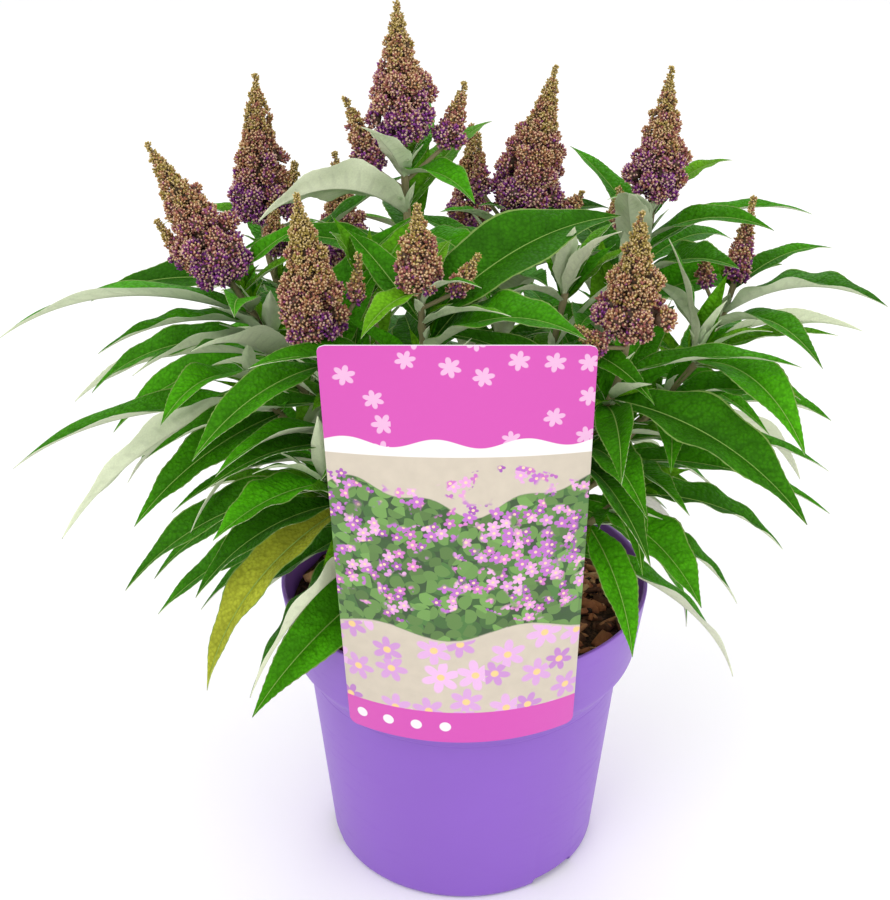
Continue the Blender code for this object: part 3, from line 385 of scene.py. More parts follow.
def heading_vector(heading, rise=0.0):
    """The unit vector of a heading and a rise above the level, both in degrees."""
    turn, lift = math.radians(heading), math.radians(rise)
    return Vector((math.cos(turn) * math.cos(lift), math.sin(turn) * math.cos(lift), math.sin(lift)))


def curve_points(start, start_pull, end_pull, end, count):
    """Points along the cubic curve from start to end, which the two pull points bend."""
    points = []
    for i in range(count + 1):
        t = i / count
        s = 1.0 - t
        points.append(start * s**3 + start_pull * 3 * s * s * t + end_pull * 3 * s * t * t + end * t**3)
    return points


def at_share(points, share):
    """(point, direction) at this share of a path's length."""
    lengths = [(b - a).length for a, b in zip(points, points[1:])]
    left = share * sum(lengths)
    for a, b, length in zip(points, points[1:], lengths):
        if left <= length or b is points[-1]:
            return a.lerp(b, left / length), (b - a).normalized()
        left -= length


def part_of_path(points, first, last, count):
    """count + 1 evenly spaced points of a path, from one share of its length to another."""
    return [at_share(points, first + (last - first) * i / count)[0] for i in range(count + 1)]


def card_middle(z):
    """(x, distance in front of the axis) of the middle of the card's front at a height. The card leans
    out."""
    up = (z - CARD_FOOT) / CARD_HEIGHT
    front = CARD_FOOT_FRONT + math.tan(math.radians(CARD_LEAN)) * (z - CARD_FOOT)
    return CARD_FOOT_X + (CARD_TOP_X - CARD_FOOT_X) * up, front


def card_face(across, z):
    """The point of the card's front this far from its middle line. It is curved like the pot at its foot and
    flat at its top."""
    middle, front = card_middle(z)
    up = min(max((z - CARD_FOOT) / CARD_HEIGHT, 0.0), 1.0)
    bend = (1.0 - up) ** CARD_FLATTENING / front
    if bend * CARD_WIDTH < 0.01:
        return Vector((middle + across, -front, z))
    reach, turn = 1.0 / bend, across * bend
    return Vector((middle + reach * math.sin(turn), reach - front - reach * math.cos(turn), z))


def pot_outer_radius(z):
    """The pot's outer radius at a height, its band and lip included."""
    band_foot = POT_HEIGHT - BAND_HEIGHT
    body_top = band_foot - BAND_SLOPE
    if z < body_top:
        return POT_BASE_RADIUS + (BODY_TOP_RADIUS - POT_BASE_RADIUS) * z / body_top
    if z < band_foot:
        return BODY_TOP_RADIUS + (BAND_FOOT_RADIUS - BODY_TOP_RADIUS) * (z - body_top) / BAND_SLOPE
    return BAND_FOOT_RADIUS + (POT_TOP_RADIUS - BAND_FOOT_RADIUS) * (z - band_foot) / BAND_HEIGHT


def in_the_way_of_pot_or_card(point, margin=RIM_GAP):
    """True for a point in or against the pot, the soil or the card, or in front of the card."""
    if point.z < LOWEST_LEAF or Vector((point.x, point.y)).length > CROWN_REACH:
        return True
    from_axis = math.hypot(point.x, point.y)
    if point.z < POT_HEIGHT + margin:
        outside = from_axis > pot_outer_radius(min(point.z, POT_HEIGHT)) + margin
        inside = from_axis < POT_TOP_RADIUS - 2 * POT_WALL - 3 * margin and point.z > SOIL_TOP + margin
        if not (outside or inside):
            return True
    across = point.x - card_middle(point.z)[0]
    beside_card = CARD_FOOT - margin < point.z < CARD_FOOT + CARD_HEIGHT + margin
    if beside_card and abs(across) < CARD_WIDTH / 2 + margin:
        return point.y < card_face(across, point.z).y + CARD_THICKNESS + margin
    return False


def limb_path(shoot):
    """The middle line of a shoot's whole limb, from inside the trunk to its head."""
    head = Vector(shoot.head)
    heading = math.degrees(math.atan2(head.y, head.x))
    foot = Vector((0, 0, SOIL_TOP)) + TRUNK_LEAN * shoot.foot + heading_vector(heading) * BOUGH_FOOT_OFFSET
    chord = head - foot
    reach = chord.length
    chord_rise = math.degrees(math.asin(chord.z / reach))
    start = heading_vector(heading, max(chord_rise - 14.0, 16.0))
    end = heading_vector(shoot.lean_heading, 90.0 - shoot.lean)
    return curve_points(foot, foot + start * reach * 0.36, head - end * reach * 0.32, head, 24)


def outline_share(s):
    """Half the leaf's width at share s of its length, as a share of its greatest."""
    return math.sin(math.pi * s**0.75) ** 1.2 if 0.0 < s < 1.0 else 0.0


def midrib(leaf, shares):
    """For each share of the leaf's length, (point, side, up): the midrib's point and the blade's two
    directions."""
    point = leaf.root.copy()
    frames, wanted = [], list(shares)
    for i in range(MIDRIB_STEPS + 1):
        s = i / MIDRIB_STEPS
        rise = leaf.rise - leaf.droop * s**1.25
        heading = leaf.heading + leaf.sweep * s
        along = heading_vector(heading, rise)
        side = heading_vector(heading - 90.0)
        up = side.cross(along)
        roll = Matrix.Rotation(math.radians(leaf.roll * min(1.0, 2.5 * s)), 3, along)
        while wanted and wanted[0] <= s + 1e-9:
            frames.append((point + along * (leaf.length * (wanted[0] - s)), roll @ side, roll @ up))
            wanted.pop(0)
        point = point + along * (leaf.length / MIDRIB_STEPS)
    return frames


def leaf_tip(leaf):
    """The point of a leaf's tip."""
    return midrib(leaf, (1.0,))[0][0]


def leaf_solid(leaf, swell=0.0):
    """(points, faces) of a folded, tapering leaf blade that is one closed solid. swell makes it that much
    bigger all round, for finding out what it would touch."""
    thickness = leaf.length * LEAF_THICKNESS_SHARE
    fold = math.tan(math.radians(LEAF_FOLD))
    points = [leaf.root.copy()]
    for s, (middle, side, up) in zip(LEAF_STATIONS, midrib(leaf, LEAF_STATIONS)):
        half = leaf.width / 2 * outline_share(s) + swell
        points += [
            middle - side * half + up * half * fold,
            middle + up * swell,
            middle + side * half + up * half * fold,
            middle - up * (thickness + swell),
        ]
    points.append(leaf_tip(leaf))
    faces = [(0, 1 + (k + 1) % 4, 1 + k) for k in range(4)]
    for ring in range(len(LEAF_STATIONS) - 1):
        low, high = 1 + 4 * ring, 5 + 4 * ring
        for k in range(4):
            other = (k + 1) % 4
            if k < 2:
                faces += [(low + k, high + other, high + k), (low + k, low + other, high + other)]
            else:
                faces += [(low + k, low + other, high + k), (low + other, high + other, high + k)]
    tip, last = len(points) - 1, len(points) - 5
    faces += [(last + k, last + (k + 1) % 4, tip) for k in range(4)]
    return points, faces


def spike_profile(length, radius):
    """(height, radius) down the outer side of a spike, from its tip to its base. Its flower rings stand out
    in tiers."""
    tiers = max(3, round(length / SPIKE_TIER))
    profile = [(length, 0.0)]
    for tier in range(tiers):
        for share, swell in ((0.25, 1.08), (0.90, 0.80)):
            down = (tier + share) / tiers
            profile.append((length * (1.0 - down), swell * spike_radius_at(down, radius)))
    profile.append((0.0, 0.0))
    return profile


def spike_radius_at(down, radius):
    """A spike's radius at this share of its length below the tip."""
    swelling = min(1.0, 1.08 * down) ** 1.15 * (1.0 - max(0.0, down - 0.82) * 1.6)
    return SPIKE_TIP_RADIUS + (radius - SPIKE_TIP_RADIUS) * swelling


def linked(name, data):
    """An object with this data, linked into the scene."""
    obj = bpy.data.objects.new(name, data)
    bpy.context.scene.collection.objects.link(obj)
    return obj


def work_of(obj):
    """A bmesh of a curve, or of an object with its modifiers."""
    made = bpy.data.meshes.new_from_object(obj.evaluated_get(bpy.context.evaluated_depsgraph_get()))
    work = bmesh.new()
    work.from_mesh(made)
    bpy.data.meshes.remove(made)
    return work


def mesh_from(name, work):
    """The mesh of a bmesh, which is used up."""
    mesh = bpy.data.meshes.new(name)
    work.to_mesh(mesh)
    work.free()
    return mesh


def solid_of(work):
    """(points, faces) of a bmesh, which is used up."""
    work.verts.index_update()
    made = [v.co.copy() for v in work.verts], [tuple(v.index for v in f.verts) for f in work.faces]
    work.free()
    return made


def arrays_of(work):
    """(points, faces) of a bmesh as arrays. The bmesh is used up."""
    points, faces = solid_of(work)
    return np.array([point[:] for point in points]), np.array(faces)


def spun(profile, steps):
    """A bmesh of a closed outline, (radius, height) points from axis to axis, turned about the axis."""
    work = bmesh.new()
    line = [work.verts.new((radius, 0.0, height)) for radius, height in profile]
    edges = [work.edges.new(pair) for pair in zip(line, line[1:])]
    about = {"cent": (0, 0, 0), "axis": (0, 0, 1), "angle": math.tau}
    bmesh.ops.spin(work, geom=line + edges, steps=steps, use_merge=True, **about)
    bmesh.ops.remove_doubles(work, verts=work.verts, dist=1e-6)
    return work


def spike_solid(spike):
    """(points, faces) of a spike: its profile spun about its axis."""
    profile = [(radius, height) for height, radius in spike_profile(spike.length, spike.radius)]
    work = spun(profile, 8 if spike.radius > 0.010 else 6)
    bmesh.ops.recalc_face_normals(work, faces=work.faces)
    bmesh.ops.triangulate(work, faces=work.faces)
    turn = spike.direction.to_track_quat("Z", "X").to_matrix().to_4x4()
    bmesh.ops.transform(work, matrix=Matrix.Translation(spike.base) @ turn, verts=work.verts)
    return solid_of(work)


def limbs_work(limbs, sides):
    """A bmesh of tapering limbs, each (points, radii), from one curve with a spline for each."""
    data = bpy.data.curves.new("limbs", "CURVE")
    data.dimensions = "3D"
    data.bevel_depth = 1.0
    data.bevel_resolution = (sides - 4) // 2
    data.use_fill_caps = True
    for points, radii in limbs:
        spline = data.splines.new("POLY")
        spline.points.add(len(points) - 1)
        for place, point, radius in zip(spline.points, points, radii):
            place.co = (*point, 1.0)
            place.radius = radius
    holder = linked("limbs", data)
    work = work_of(holder)
    bpy.data.objects.remove(holder)
    bpy.data.curves.remove(data)
    return work


def tube_solid(points, radii, sides):
    """(points, faces) of a tapering limb along a path. A twig is four-sided, and a bough eight-sided."""
    work = limbs_work([(points, radii)], sides)
    bmesh.ops.remove_doubles(work, verts=work.verts, dist=1e-6)
    bmesh.ops.triangulate(work, faces=work.faces)
    bmesh.ops.recalc_face_normals(work, faces=work.faces)
    return solid_of(work)


def tapered(first, last, count):
    """count + 1 even steps from the first radius to the last."""
    return [first + (last - first) * i / count for i in range(count + 1)]


class Item(NamedTuple):
    """A solid of the plant that has its place: which mass it belongs to, and its surface to test against.
    blade is the surface without a leaf's root end, which may touch its own mass."""

    owner: str
    whole: BVHTree
    blade: BVHTree
    low: Vector
    high: Vector


def item_of(owner, solid, root_faces=0):
    """The item of a (points, faces) solid."""
    points, faces = solid
    low = Vector(tuple(min(p[k] for p in points) for k in range(3)))
    high = Vector(tuple(max(p[k] for p in points) for k in range(3)))
    whole = BVHTree.FromPolygons(points, faces)
    blade = BVHTree.FromPolygons(points, faces[root_faces:]) if root_faces else whole
    return Item(owner, whole, blade, low, high)


def bough_solid(shoot, path, swell=0.0):
    """The bare part of a shoot's limb, as one tapering limb."""
    radii = tapered(BOUGH_FOOT_RADIUS + swell, BOUGH_TIP_RADIUS + swell, SEGMENTS_PER_BOUGH)
    return tube_solid(part_of_path(path, 0.0, shoot.bare, SEGMENTS_PER_BOUGH), radii, 6)


def stem_solid(shoot, path, swell=0.0):
    """The leafy part of a shoot's limb. It starts clear of the bough's tip and ends inside the spike."""
    length = sum((b - a).length for a, b in zip(path, path[1:]))
    start = shoot.bare + BOUGH_TO_STEM_GAP / length if shoot.bare else 0.0
    line = part_of_path(path, start, 1.0, SEGMENTS_PER_STEM)
    if shoot.spike_length:
        direction = heading_vector(shoot.lean_heading, 90.0 - shoot.lean)
        line.append(line[-1] + direction * shoot.spike_length * 0.4)
    return tube_solid(line, tapered(BOUGH_TIP_RADIUS + swell, STEM_TIP_RADIUS + swell, len(line) - 1), 4)


def stalk_solid(stalk, spike, swell=0.0):
    """The stalk of a side spike, from inside the stem to inside the spike."""
    return tube_solid([*stalk, spike.base + spike.direction * STALK_IN_SPIKE], [TWIG_RADIUS + swell] * 3, 4)


def card_sheets(swell):
    """(points, faces) of the card's front and back, this much bigger all round, to test a leaf against."""
    across, upward = 10, 6
    points, faces = [], []
    for push in (-swell, CARD_THICKNESS + swell):
        first = len(points)
        for j in range(upward + 1):
            z = CARD_FOOT - swell + (CARD_HEIGHT + 2 * swell) * j / upward
            for i in range(across + 1):
                place = (i / across - 0.5) * (CARD_WIDTH + 2 * swell)
                points.append(card_face(place, z) + Vector((0, push, 0)))
        for j in range(upward):
            for i in range(across):
                low = first + j * (across + 1) + i
                faces.append((low, low + 1, low + across + 2, low + across + 1))
    return points, faces


def boxes_meet(a, b):
    """True if the boxes round two items meet."""
    return all(a.low[k] <= b.high[k] and b.low[k] <= a.high[k] for k in range(3))


def surface_samples(solid):
    """The solid's points, and points on its edges and faces."""
    points, faces = solid
    samples = list(points)
    for a, b, c in faces:
        samples.append((points[a] + points[b]) / 2)
        samples.append((points[b] + points[c]) / 2)
        samples.append((points[a] + points[b] + points[c]) / 3)
    return samples


def leaf_fits(leaf, owner, items):
    """The leaf's item if it fits in the crown, else None. Its root end may touch its own mass, but the blade
    keeps clear of all that is there."""
    solid = leaf_solid(leaf, swell=LEAF_GAP)
    if any(in_the_way_of_pot_or_card(p) for p in surface_samples(solid)):
        return None
    mine = item_of(owner, solid, root_faces=4)
    for item in items:
        if boxes_meet(mine, item):
            meets = mine.blade.overlap(item.blade) if item.owner == owner else mine.whole.overlap(item.whole)
            if meets:
                return None
    return mine


def nudged(leaf, rng, tries, spread):
    """The leaf as it is first, then with a different lift, turn and size each time, for one that didn't
    fit."""
    yield leaf
    for i in range(tries):
        far = 0.4 + 0.6 * i / tries
        yield leaf._replace(
            heading=leaf.heading + rng.uniform(-spread, spread) * far,
            rise=leaf.rise + rng.uniform(-0.6, 0.9) * spread * far,
            droop=leaf.droop + rng.uniform(-0.6, 0.6) * spread * far,
            length=leaf.length * (1.0 - spread / 130.0 * far * rng.random()),
            roll=leaf.roll + rng.uniform(-15, 15),
        )


def leaf_to_tip(lead, root):
    """The leaf that starts at this root, bends by the lead's droop and ends at its tip."""
    chord = Vector(lead.tip) - root
    heading = math.degrees(math.atan2(chord.y, chord.x))
    trial = Leaf(root, heading, 0.0, lead.droop, 1.0, lead.width, 0.0, lead.roll)
    reached = leaf_tip(trial) - root
    lift = math.degrees(math.asin(chord.z / chord.length) - math.asin(reached.z / reached.length))
    return trial._replace(rise=lift, length=chord.length / reached.length)


def ruled_leaves(shoot, path, rng):
    """The leaves that the rule gives a shoot: opposite pairs, each turned a quarter from the last, long and
    drooping at the foot of the stem and short and upright under its head."""
    leaves = []
    first = shoot.bare + 0.07 if shoot.bare else 0.34
    for pair in range(shoot.pairs):
        up = pair / (shoot.pairs - 1)
        share = first + (0.965 - first) * up**0.9
        root, along = at_share(path, share)
        level = Vector((0, 0, 1)).cross(along)
        across = level.normalized() if level.length > 0.05 else Vector((1, 0, 0))
        other = along.cross(across)
        for half in (0, 1):
            turn = math.radians(shoot.turn + 90 * pair + 180 * half + rng.uniform(-14, 14))
            out = across * math.cos(turn) + other * math.sin(turn)
            start = out + along * (0.55 + 0.25 * up)
            heading = math.degrees(math.atan2(start.y, start.x))
            rise = math.degrees(math.atan2(start.z, math.hypot(start.x, start.y)))
            size = shoot.leaf * (1.0 - 0.42 * up**2) * rng.uniform(0.86, 1.06)
            length = LEAF_LENGTH * size
            rise = min(max(rise, -12.0), 62.0)
            droop = rng.uniform(40, 78) * (1.0 - 0.25 * up)
            width = length / (LEAF_SLENDERNESS * rng.uniform(0.9, 1.25))
            sweep, roll = rng.uniform(-18, 18), rng.uniform(-24, 24)
            leaves.append(Leaf(root, heading, rise, droop, length, width, sweep, roll))
    return leaves


def tip_leaves(shoot, path, rng):
    """The small narrow leaves round the head of a spray, or under a spike."""
    share, count, largest = (0.93, 2, 0.42) if shoot.spike_length else (0.99, 4, 0.52)
    root, along = at_share(path, share)
    heading = math.degrees(math.atan2(along.y, along.x))
    leaves = []
    for i in range(count):
        length = LEAF_LENGTH * rng.uniform(largest - 0.16, largest)
        way = heading + 360 * i / count + shoot.turn
        rise, droop = rng.uniform(35, 62), rng.uniform(30, 70)
        sweep, roll = rng.uniform(-20, 20), rng.uniform(-20, 20)
        leaves.append(Leaf(root, way, rise, droop, length, length / 5.4, sweep, roll))
    return leaves


def shoot_spikes(shoot, path):
    """The shoot's own spike, then the small ones beside it, each with the stalk's path that carries it."""
    found = []
    if shoot.spike_length:
        direction = heading_vector(shoot.lean_heading, 90.0 - shoot.lean)
        found.append((Spike(path[-1], direction, shoot.spike_length, shoot.spike_radius), None))
    for side in SIDES:
        if side.shoot == shoot.name:
            root = at_share(path, side.share)[0]
            end = root + heading_vector(side.heading, side.rise) * side.stalk
            direction = heading_vector(side.heading, min(side.rise + 32.0, 86.0))
            found.append((Spike(end, direction, side.length, side.radius), (root, end)))
    return found


class Mass(NamedTuple):
    """All that one shoot's node is made of."""

    shoot: Shoot
    path: list
    spikes: list
    leaves: list


def plan_plant():
    """Every shoot's mass. Limbs and spikes are placed first, then the leaves that show best, then the rest
    by turns, and a leaf that would touch another mass or a limb is moved a little or skipped."""
    rng = random.Random(PLANT_SEED)
    masses = []
    items = [item_of("wood", trunk_solid(CLEARANCE)), item_of("card", card_sheets(CLEARANCE))]
    for shoot in SHOOTS:
        path = limb_path(shoot)
        spikes = shoot_spikes(shoot, path)
        masses.append(Mass(shoot, path, spikes, []))
        if shoot.bare:
            items.append(item_of("wood", bough_solid(shoot, path, CLEARANCE)))
        items.append(item_of(shoot.name, stem_solid(shoot, path, CLEARANCE)))
        for spike, stalk in spikes:
            wide = spike._replace(radius=spike.radius + 2 * CLEARANCE)
            items.append(item_of(shoot.name, spike_solid(wide)))
            if stalk:
                items.append(item_of(shoot.name, stalk_solid(stalk, spike, CLEARANCE)))
    by_name = {mass.shoot.name: mass for mass in masses}
    for lead in LEADS:
        mass = by_name[lead.shoot]
        leaf = leaf_to_tip(lead, at_share(mass.path, lead.share)[0])
        add_leaf(mass, leaf, items, rng, LEAD_TRIES, LEAD_SPREAD)
    for mass in masses:
        for leaf in ruled_leaves(mass.shoot, mass.path, rng):
            add_leaf(mass, leaf, items, rng, RULED_TRIES, RULED_SPREAD)
    for mass in masses:
        for leaf in tip_leaves(mass.shoot, mass.path, rng):
            add_leaf(mass, leaf, items, rng, TIP_TRIES, TIP_SPREAD)
    return masses


def add_leaf(mass, leaf, items, rng, tries, spread):
    """Adds the leaf to its mass at the first try that fits, or not at all."""
    for tried in nudged(leaf, rng, tries, spread):
        item = leaf_fits(tried, mass.shoot.name, items)
        if item:
            mass.leaves.append(tried)
            items.append(item)
            return


def trunk_solid(swell=0.0):
    """(points, faces) of the short stool with its root flare, from a flat cut on the soil to its rounded
    top."""
    foot = Vector((0, 0, SOIL_TOP + CLEARANCE - swell))
    rings = (
        (0.0, TRUNK_FLARE_RADIUS),
        (0.08, TRUNK_FLARE_RADIUS * 0.82),
        (0.20, TRUNK_RADIUS * 1.04),
        (0.50, TRUNK_RADIUS),
        (0.80, TRUNK_RADIUS * 0.98),
        (0.95, TRUNK_RADIUS * 0.80),
        (1.0, TRUNK_RADIUS * 0.45),
    )
    points = [foot + TRUNK_LEAN * ((TRUNK_HEIGHT + 2 * swell) * share) for share, _ in rings]
    points[0].z = foot.z
    return tube_solid(points, [radius + swell for _, radius in rings], 12)


class LeafGrid(NamedTuple):
    """How a blade is cut up: side veins a side, rows for each vein, and the columns from margin to
    margin as shares of half the width."""

    veins: int
    rows: int
    columns: tuple


FULL_LEAF = LeafGrid(14, 3, (-1.0, -0.95, -0.55, -0.05, 0.0, 0.05, 0.55, 0.95, 1.0))
SMALL_LEAF = LeafGrid(4, 2, (-1.0, -0.5, 0.0, 0.5, 1.0))


class Value:
    """A socket that Python's own signs work on: an expression on values adds its Math nodes."""

    def __init__(self, finish, socket):
        self.finish = finish
        self.socket = socket

    def maths(self, operation, *terms):
        return self.finish.node("ShaderNodeMath", {"operation": operation}, dict(enumerate(terms)))

    def __add__(self, other):
        return self.maths("ADD", self, other)

    def __radd__(self, other):
        return self.maths("ADD", other, self)

    def __sub__(self, other):
        return self.maths("SUBTRACT", self, other)

    def __rsub__(self, other):
        return self.maths("SUBTRACT", other, self)

    def __mul__(self, other):
        return self.maths("MULTIPLY", self, other)

    def __rmul__(self, other):
        return self.maths("MULTIPLY", other, self)

    def __truediv__(self, other):
        return self.maths("DIVIDE", self, other)

    def __rtruediv__(self, other):
        return self.maths("DIVIDE", other, self)

    def __gt__(self, other):
        return self.maths("GREATER_THAN", self, other)

    def __lt__(self, other):
        return self.maths("LESS_THAN", self, other)


class Finish:
    """A material in the making, with the one way in which nodes are added to it."""

    def __init__(self, name, roughness=0.5, specular=0.5):
        self.material = bpy.data.materials.new(name)
        self.material.use_nodes = True
        self.tree = self.material.node_tree
        self.shader = self.tree.nodes["Principled BSDF"]
        self.shader.inputs["Roughness"].default_value = roughness
        self.shader.inputs["Specular IOR Level"].default_value = specular

    def node(self, kind, settings=None, inputs=None, output=0):
        """Adds a node. Its settings come first, then the values or links of its sockets."""
        made = self.tree.nodes.new(kind)
        for name, value in (settings or {}).items():
            if name == "stops":
                self.set_stops(made.color_ramp, value)
            else:
                setattr(made, name, value)
        for name, value in (inputs or {}).items():
            self.feed(made.inputs[name], value)
        return Value(self, made.outputs[output])

    def set_stops(self, ramp, stops):
        while len(ramp.elements) < len(stops):
            ramp.elements.new(0.5)
        for element, (place, colour) in zip(ramp.elements, stops):
            element.position = place
            element.color = (*colour, 1.0)

    def feed(self, socket, value):
        if isinstance(value, Value):
            self.tree.links.new(value.socket, socket)
        elif isinstance(value, tuple) and socket.type == "RGBA":
            socket.default_value = (*value[:3], 1.0)
        else:
            socket.default_value = value

    def vector(self, operation, *terms, output=0):
        """Vector maths."""
        return self.node("ShaderNodeVectorMath", {"operation": operation}, dict(enumerate(terms)), output)

    def part(self, vector, index):
        """One of a vector's three numbers."""
        return self.node("ShaderNodeSeparateXYZ", {}, {0: vector}, index)

    def wavy(self, across, height, *waves):
        """A height that waves along the print. Each wave is (swing, radians a metre, start)."""
        for swing, pace, start in waves:
            height = height + swing * across.maths("SINE", across * pace + start)
        return height

    def place(self):
        """Object coordinates, in metres."""
        return self.node("ShaderNodeTexCoord", output="Object")

    def noise(self, scale, detail=2.0, stretch=(1.0, 1.0, 1.0), roughness=0.5):
        spot = self.node("ShaderNodeMapping", {}, {"Vector": self.place(), "Scale": stretch})
        inputs = {"Vector": spot, "Scale": scale, "Detail": detail, "Roughness": roughness}
        return self.node("ShaderNodeTexNoise", {}, inputs)

    def drift(self, scale, reach):
        """A small shift of place, for lines that wander."""
        wander = self.node("ShaderNodeTexNoise", {}, {"Vector": self.place(), "Scale": scale}, output="Color")
        middle = self.vector("SUBTRACT", wander, (0.5, 0.5, 0.5))
        return self.node("ShaderNodeVectorMath", {"operation": "SCALE"}, {0: middle, "Scale": reach})

    def mix(self, share, first, second):
        """The first colour, turned into the second by this share."""
        return self.node("ShaderNodeMix", {"data_type": "RGBA"}, {0: share, 6: first, 7: second}, 2)

    def ramp(self, value, *stops):
        return self.node("ShaderNodeValToRGB", {"stops": stops}, {0: value})

    def smooth(self, value, low, high):
        """0 up to low and 1 from high on, with a soft step between."""
        steps = {0: value, 1: low, 2: high, 3: 0.0, 4: 1.0}
        return self.node("ShaderNodeMapRange", {"interpolation_type": "SMOOTHSTEP"}, steps)

    def bump(self, height, distance, strength=1.0):
        return self.node("ShaderNodeBump", {}, {"Strength": strength, "Distance": distance, "Height": height})

    def colour(self, value):
        self.feed(self.shader.inputs["Base Color"], value)

    def rough(self, value):
        self.feed(self.shader.inputs["Roughness"], value)

    def normal(self, value):
        self.feed(self.shader.inputs["Normal"], value)


def shade(colour, factor):
    """A colour made lighter or darker."""
    return tuple(min(1.0, c * factor) for c in colour)


def pot_finish(colour):
    """Satin moulded plastic: faint blotches, a fine grain, and scuffs that run round near the foot."""
    finish = Finish("pot_plastic", 0.40)
    cloud = finish.noise(14.0, 3.0)
    finish.colour(finish.mix(cloud, shade(colour, 0.93), shade(colour, 1.07)))
    scuff = finish.smooth(finish.noise(60.0, 4.0, (1.0, 1.0, 5.0)), 0.52, 0.70)
    finish.rough(0.36 + 0.10 * cloud + 0.06 * scuff)
    grain = finish.noise(2400.0, 2.0)
    finish.normal(finish.bump(grain, 0.00004, 0.5))
    return finish.material


def bark_finish():
    """Young bark: grey-brown, with long pale fissures."""
    finish = Finish("stem_bark", 0.82, 0.3)
    streaks = finish.noise(420.0, 4.0, (1.0, 1.0, 0.16))
    blotch = finish.noise(90.0, 3.0)
    furrow, bark, ridge = (0.085, 0.052, 0.030), (0.20, 0.135, 0.080), (0.36, 0.28, 0.19)
    body = finish.ramp(streaks, (0.25, furrow), (0.50, bark), (0.75, ridge))
    finish.colour(finish.mix(0.35 * blotch, body, (0.30, 0.26, 0.19)))
    finish.normal(finish.bump(streaks, 0.0005, 0.8))
    return finish.material


def felt_finish(name, colour):
    """Short pale felt over a young stem."""
    finish = Finish(name, 0.88, 0.25)
    fibres = finish.noise(1500.0, 3.0, (1.0, 1.0, 0.35))
    finish.colour(finish.mix(fibres, shade(colour, 0.72), shade(colour, 1.22)))
    finish.normal(finish.bump(fibres, 0.00018, 0.7))
    return finish.material


def blade_finish(name, colour, roughness=0.50):
    """The upper side of a leaf: small puckered fields between sunken veins, in clouds of green, with painted
    shade in the creases between the fields and along the sunken veins.
    """
    finish = Finish(name, roughness, 0.07)
    vein = finish.node("ShaderNodeAttribute", {"attribute_name": "vein"}, output="Fac")
    cloud = finish.noise(38.0, 3.0)
    warp = finish.vector("ADD", finish.place(), finish.drift(260.0, 0.0016))
    inputs = {"Vector": warp, "Scale": 560.0, "Randomness": 0.9}
    fields = finish.node("ShaderNodeTexVoronoi", {"feature": "F1"}, inputs)
    pucker = finish.smooth(fields, 0.95, 0.15)
    line = finish.smooth(vein, 0.62, 1.0)
    body = finish.mix(finish.smooth(cloud, 0.3, 0.7), shade(colour, 0.74), shade(colour, 1.26))
    # painted shade: the creases between the puckered fields are darkened where the bump dips
    body = finish.mix(0.55 * (1.0 - pucker), body, shade(colour, 0.45))
    # painted shade: the sunken vein lines are darkened
    finish.colour(finish.mix(0.30 * line, body, shade(colour, 0.50)))
    finish.rough(roughness - 0.06 + 0.16 * (1.0 - pucker))
    finish.normal(finish.bump(pucker - 0.6 * line, 0.00045, 0.85))
    return finish.material


def underside_finish(name, colour):
    """The felted underside of a leaf, with darker veins."""
    finish = Finish(name, 0.86, 0.2)
    vein = finish.node("ShaderNodeAttribute", {"attribute_name": "vein"}, output="Fac")
    felt = finish.noise(1100.0, 3.0)
    line = finish.smooth(vein, 0.55, 1.0)
    body = finish.mix(felt, shade(colour, 0.84), shade(colour, 1.10))
    finish.colour(finish.mix(0.24 * line, body, shade(colour, 0.62)))
    finish.normal(finish.bump(felt + 0.35 * line, 0.00020, 0.6))
    return finish.material


def bud_finish(name, colour):
    """A flower bud's waxy skin."""
    finish = Finish(name, 0.62, 0.35)
    fine = finish.noise(700.0, 2.0)
    finish.colour(finish.mix(fine, shade(colour, 0.70), shade(colour, 1.30)))
    return finish.material


def compost_finish(name, dark, light):
    """Moist compost: fine crumbs, with painted shade darkening their hollows."""
    finish = Finish(name, 0.96, 0.2)
    crumbs = finish.noise(480.0, 5.0, roughness=0.65)
    # painted shade: the dark colour goes where the crumbs' bump is low, in the hollows
    finish.colour(finish.mix(finish.smooth(crumbs, 0.35, 0.68), dark, light))
    finish.normal(finish.bump(crumbs, 0.0012, 0.9))
    return finish.material


def chip_finish(name, colour):
    """A chip of bark: grained along its length."""
    finish = Finish(name, 0.85, 0.25)
    grain = finish.noise(520.0, 4.0, (1.0, 0.35, 1.0))
    finish.colour(finish.mix(grain, shade(colour, 0.50), shade(colour, 1.45)))
    finish.normal(finish.bump(grain, 0.0004, 0.8))
    return finish.material


def plain_card_finish():
    """The card's white back and cut edges, with a faint fibre in it."""
    finish = Finish("card_stock", 0.62)
    fibre = finish.noise(700.0, 3.0)
    finish.colour(finish.mix(fibre, (0.80, 0.79, 0.76), (0.90, 0.89, 0.87)))
    return finish.material


def rosettes(finish, spot, cell, petals, size, waist):
    """(mask of the petals, mask of the eyes, a random number a cell) of flowers scattered on the print."""
    settings = {"voronoi_dimensions": "2D", "feature": "F1"}
    inputs = {"Vector": spot, "Scale": 1.0 / cell, "Randomness": 0.85}
    centre = finish.node("ShaderNodeTexVoronoi", settings, inputs, output="Position")
    random_colour = finish.node("ShaderNodeTexVoronoi", settings, inputs, output="Color")
    offset = finish.vector("SUBTRACT", spot, centre)
    reach = finish.vector("LENGTH", offset, output="Value")
    x, y = finish.part(offset, 0), finish.part(offset, 1)
    pick = finish.part(random_colour, 0)
    angle = x.maths("ARCTAN2", y, x) + 6.0 * pick
    lobe = x.maths("ABSOLUTE", x.maths("COSINE", angle * (petals / 2.0)))
    edge = size * (waist + (1.0 - waist) * lobe) * (0.75 + 0.35 * pick)
    petal = finish.smooth(reach / edge, 1.0, 0.86)
    eye = finish.smooth(reach / size, 0.24, 0.16)
    return petal, eye, pick


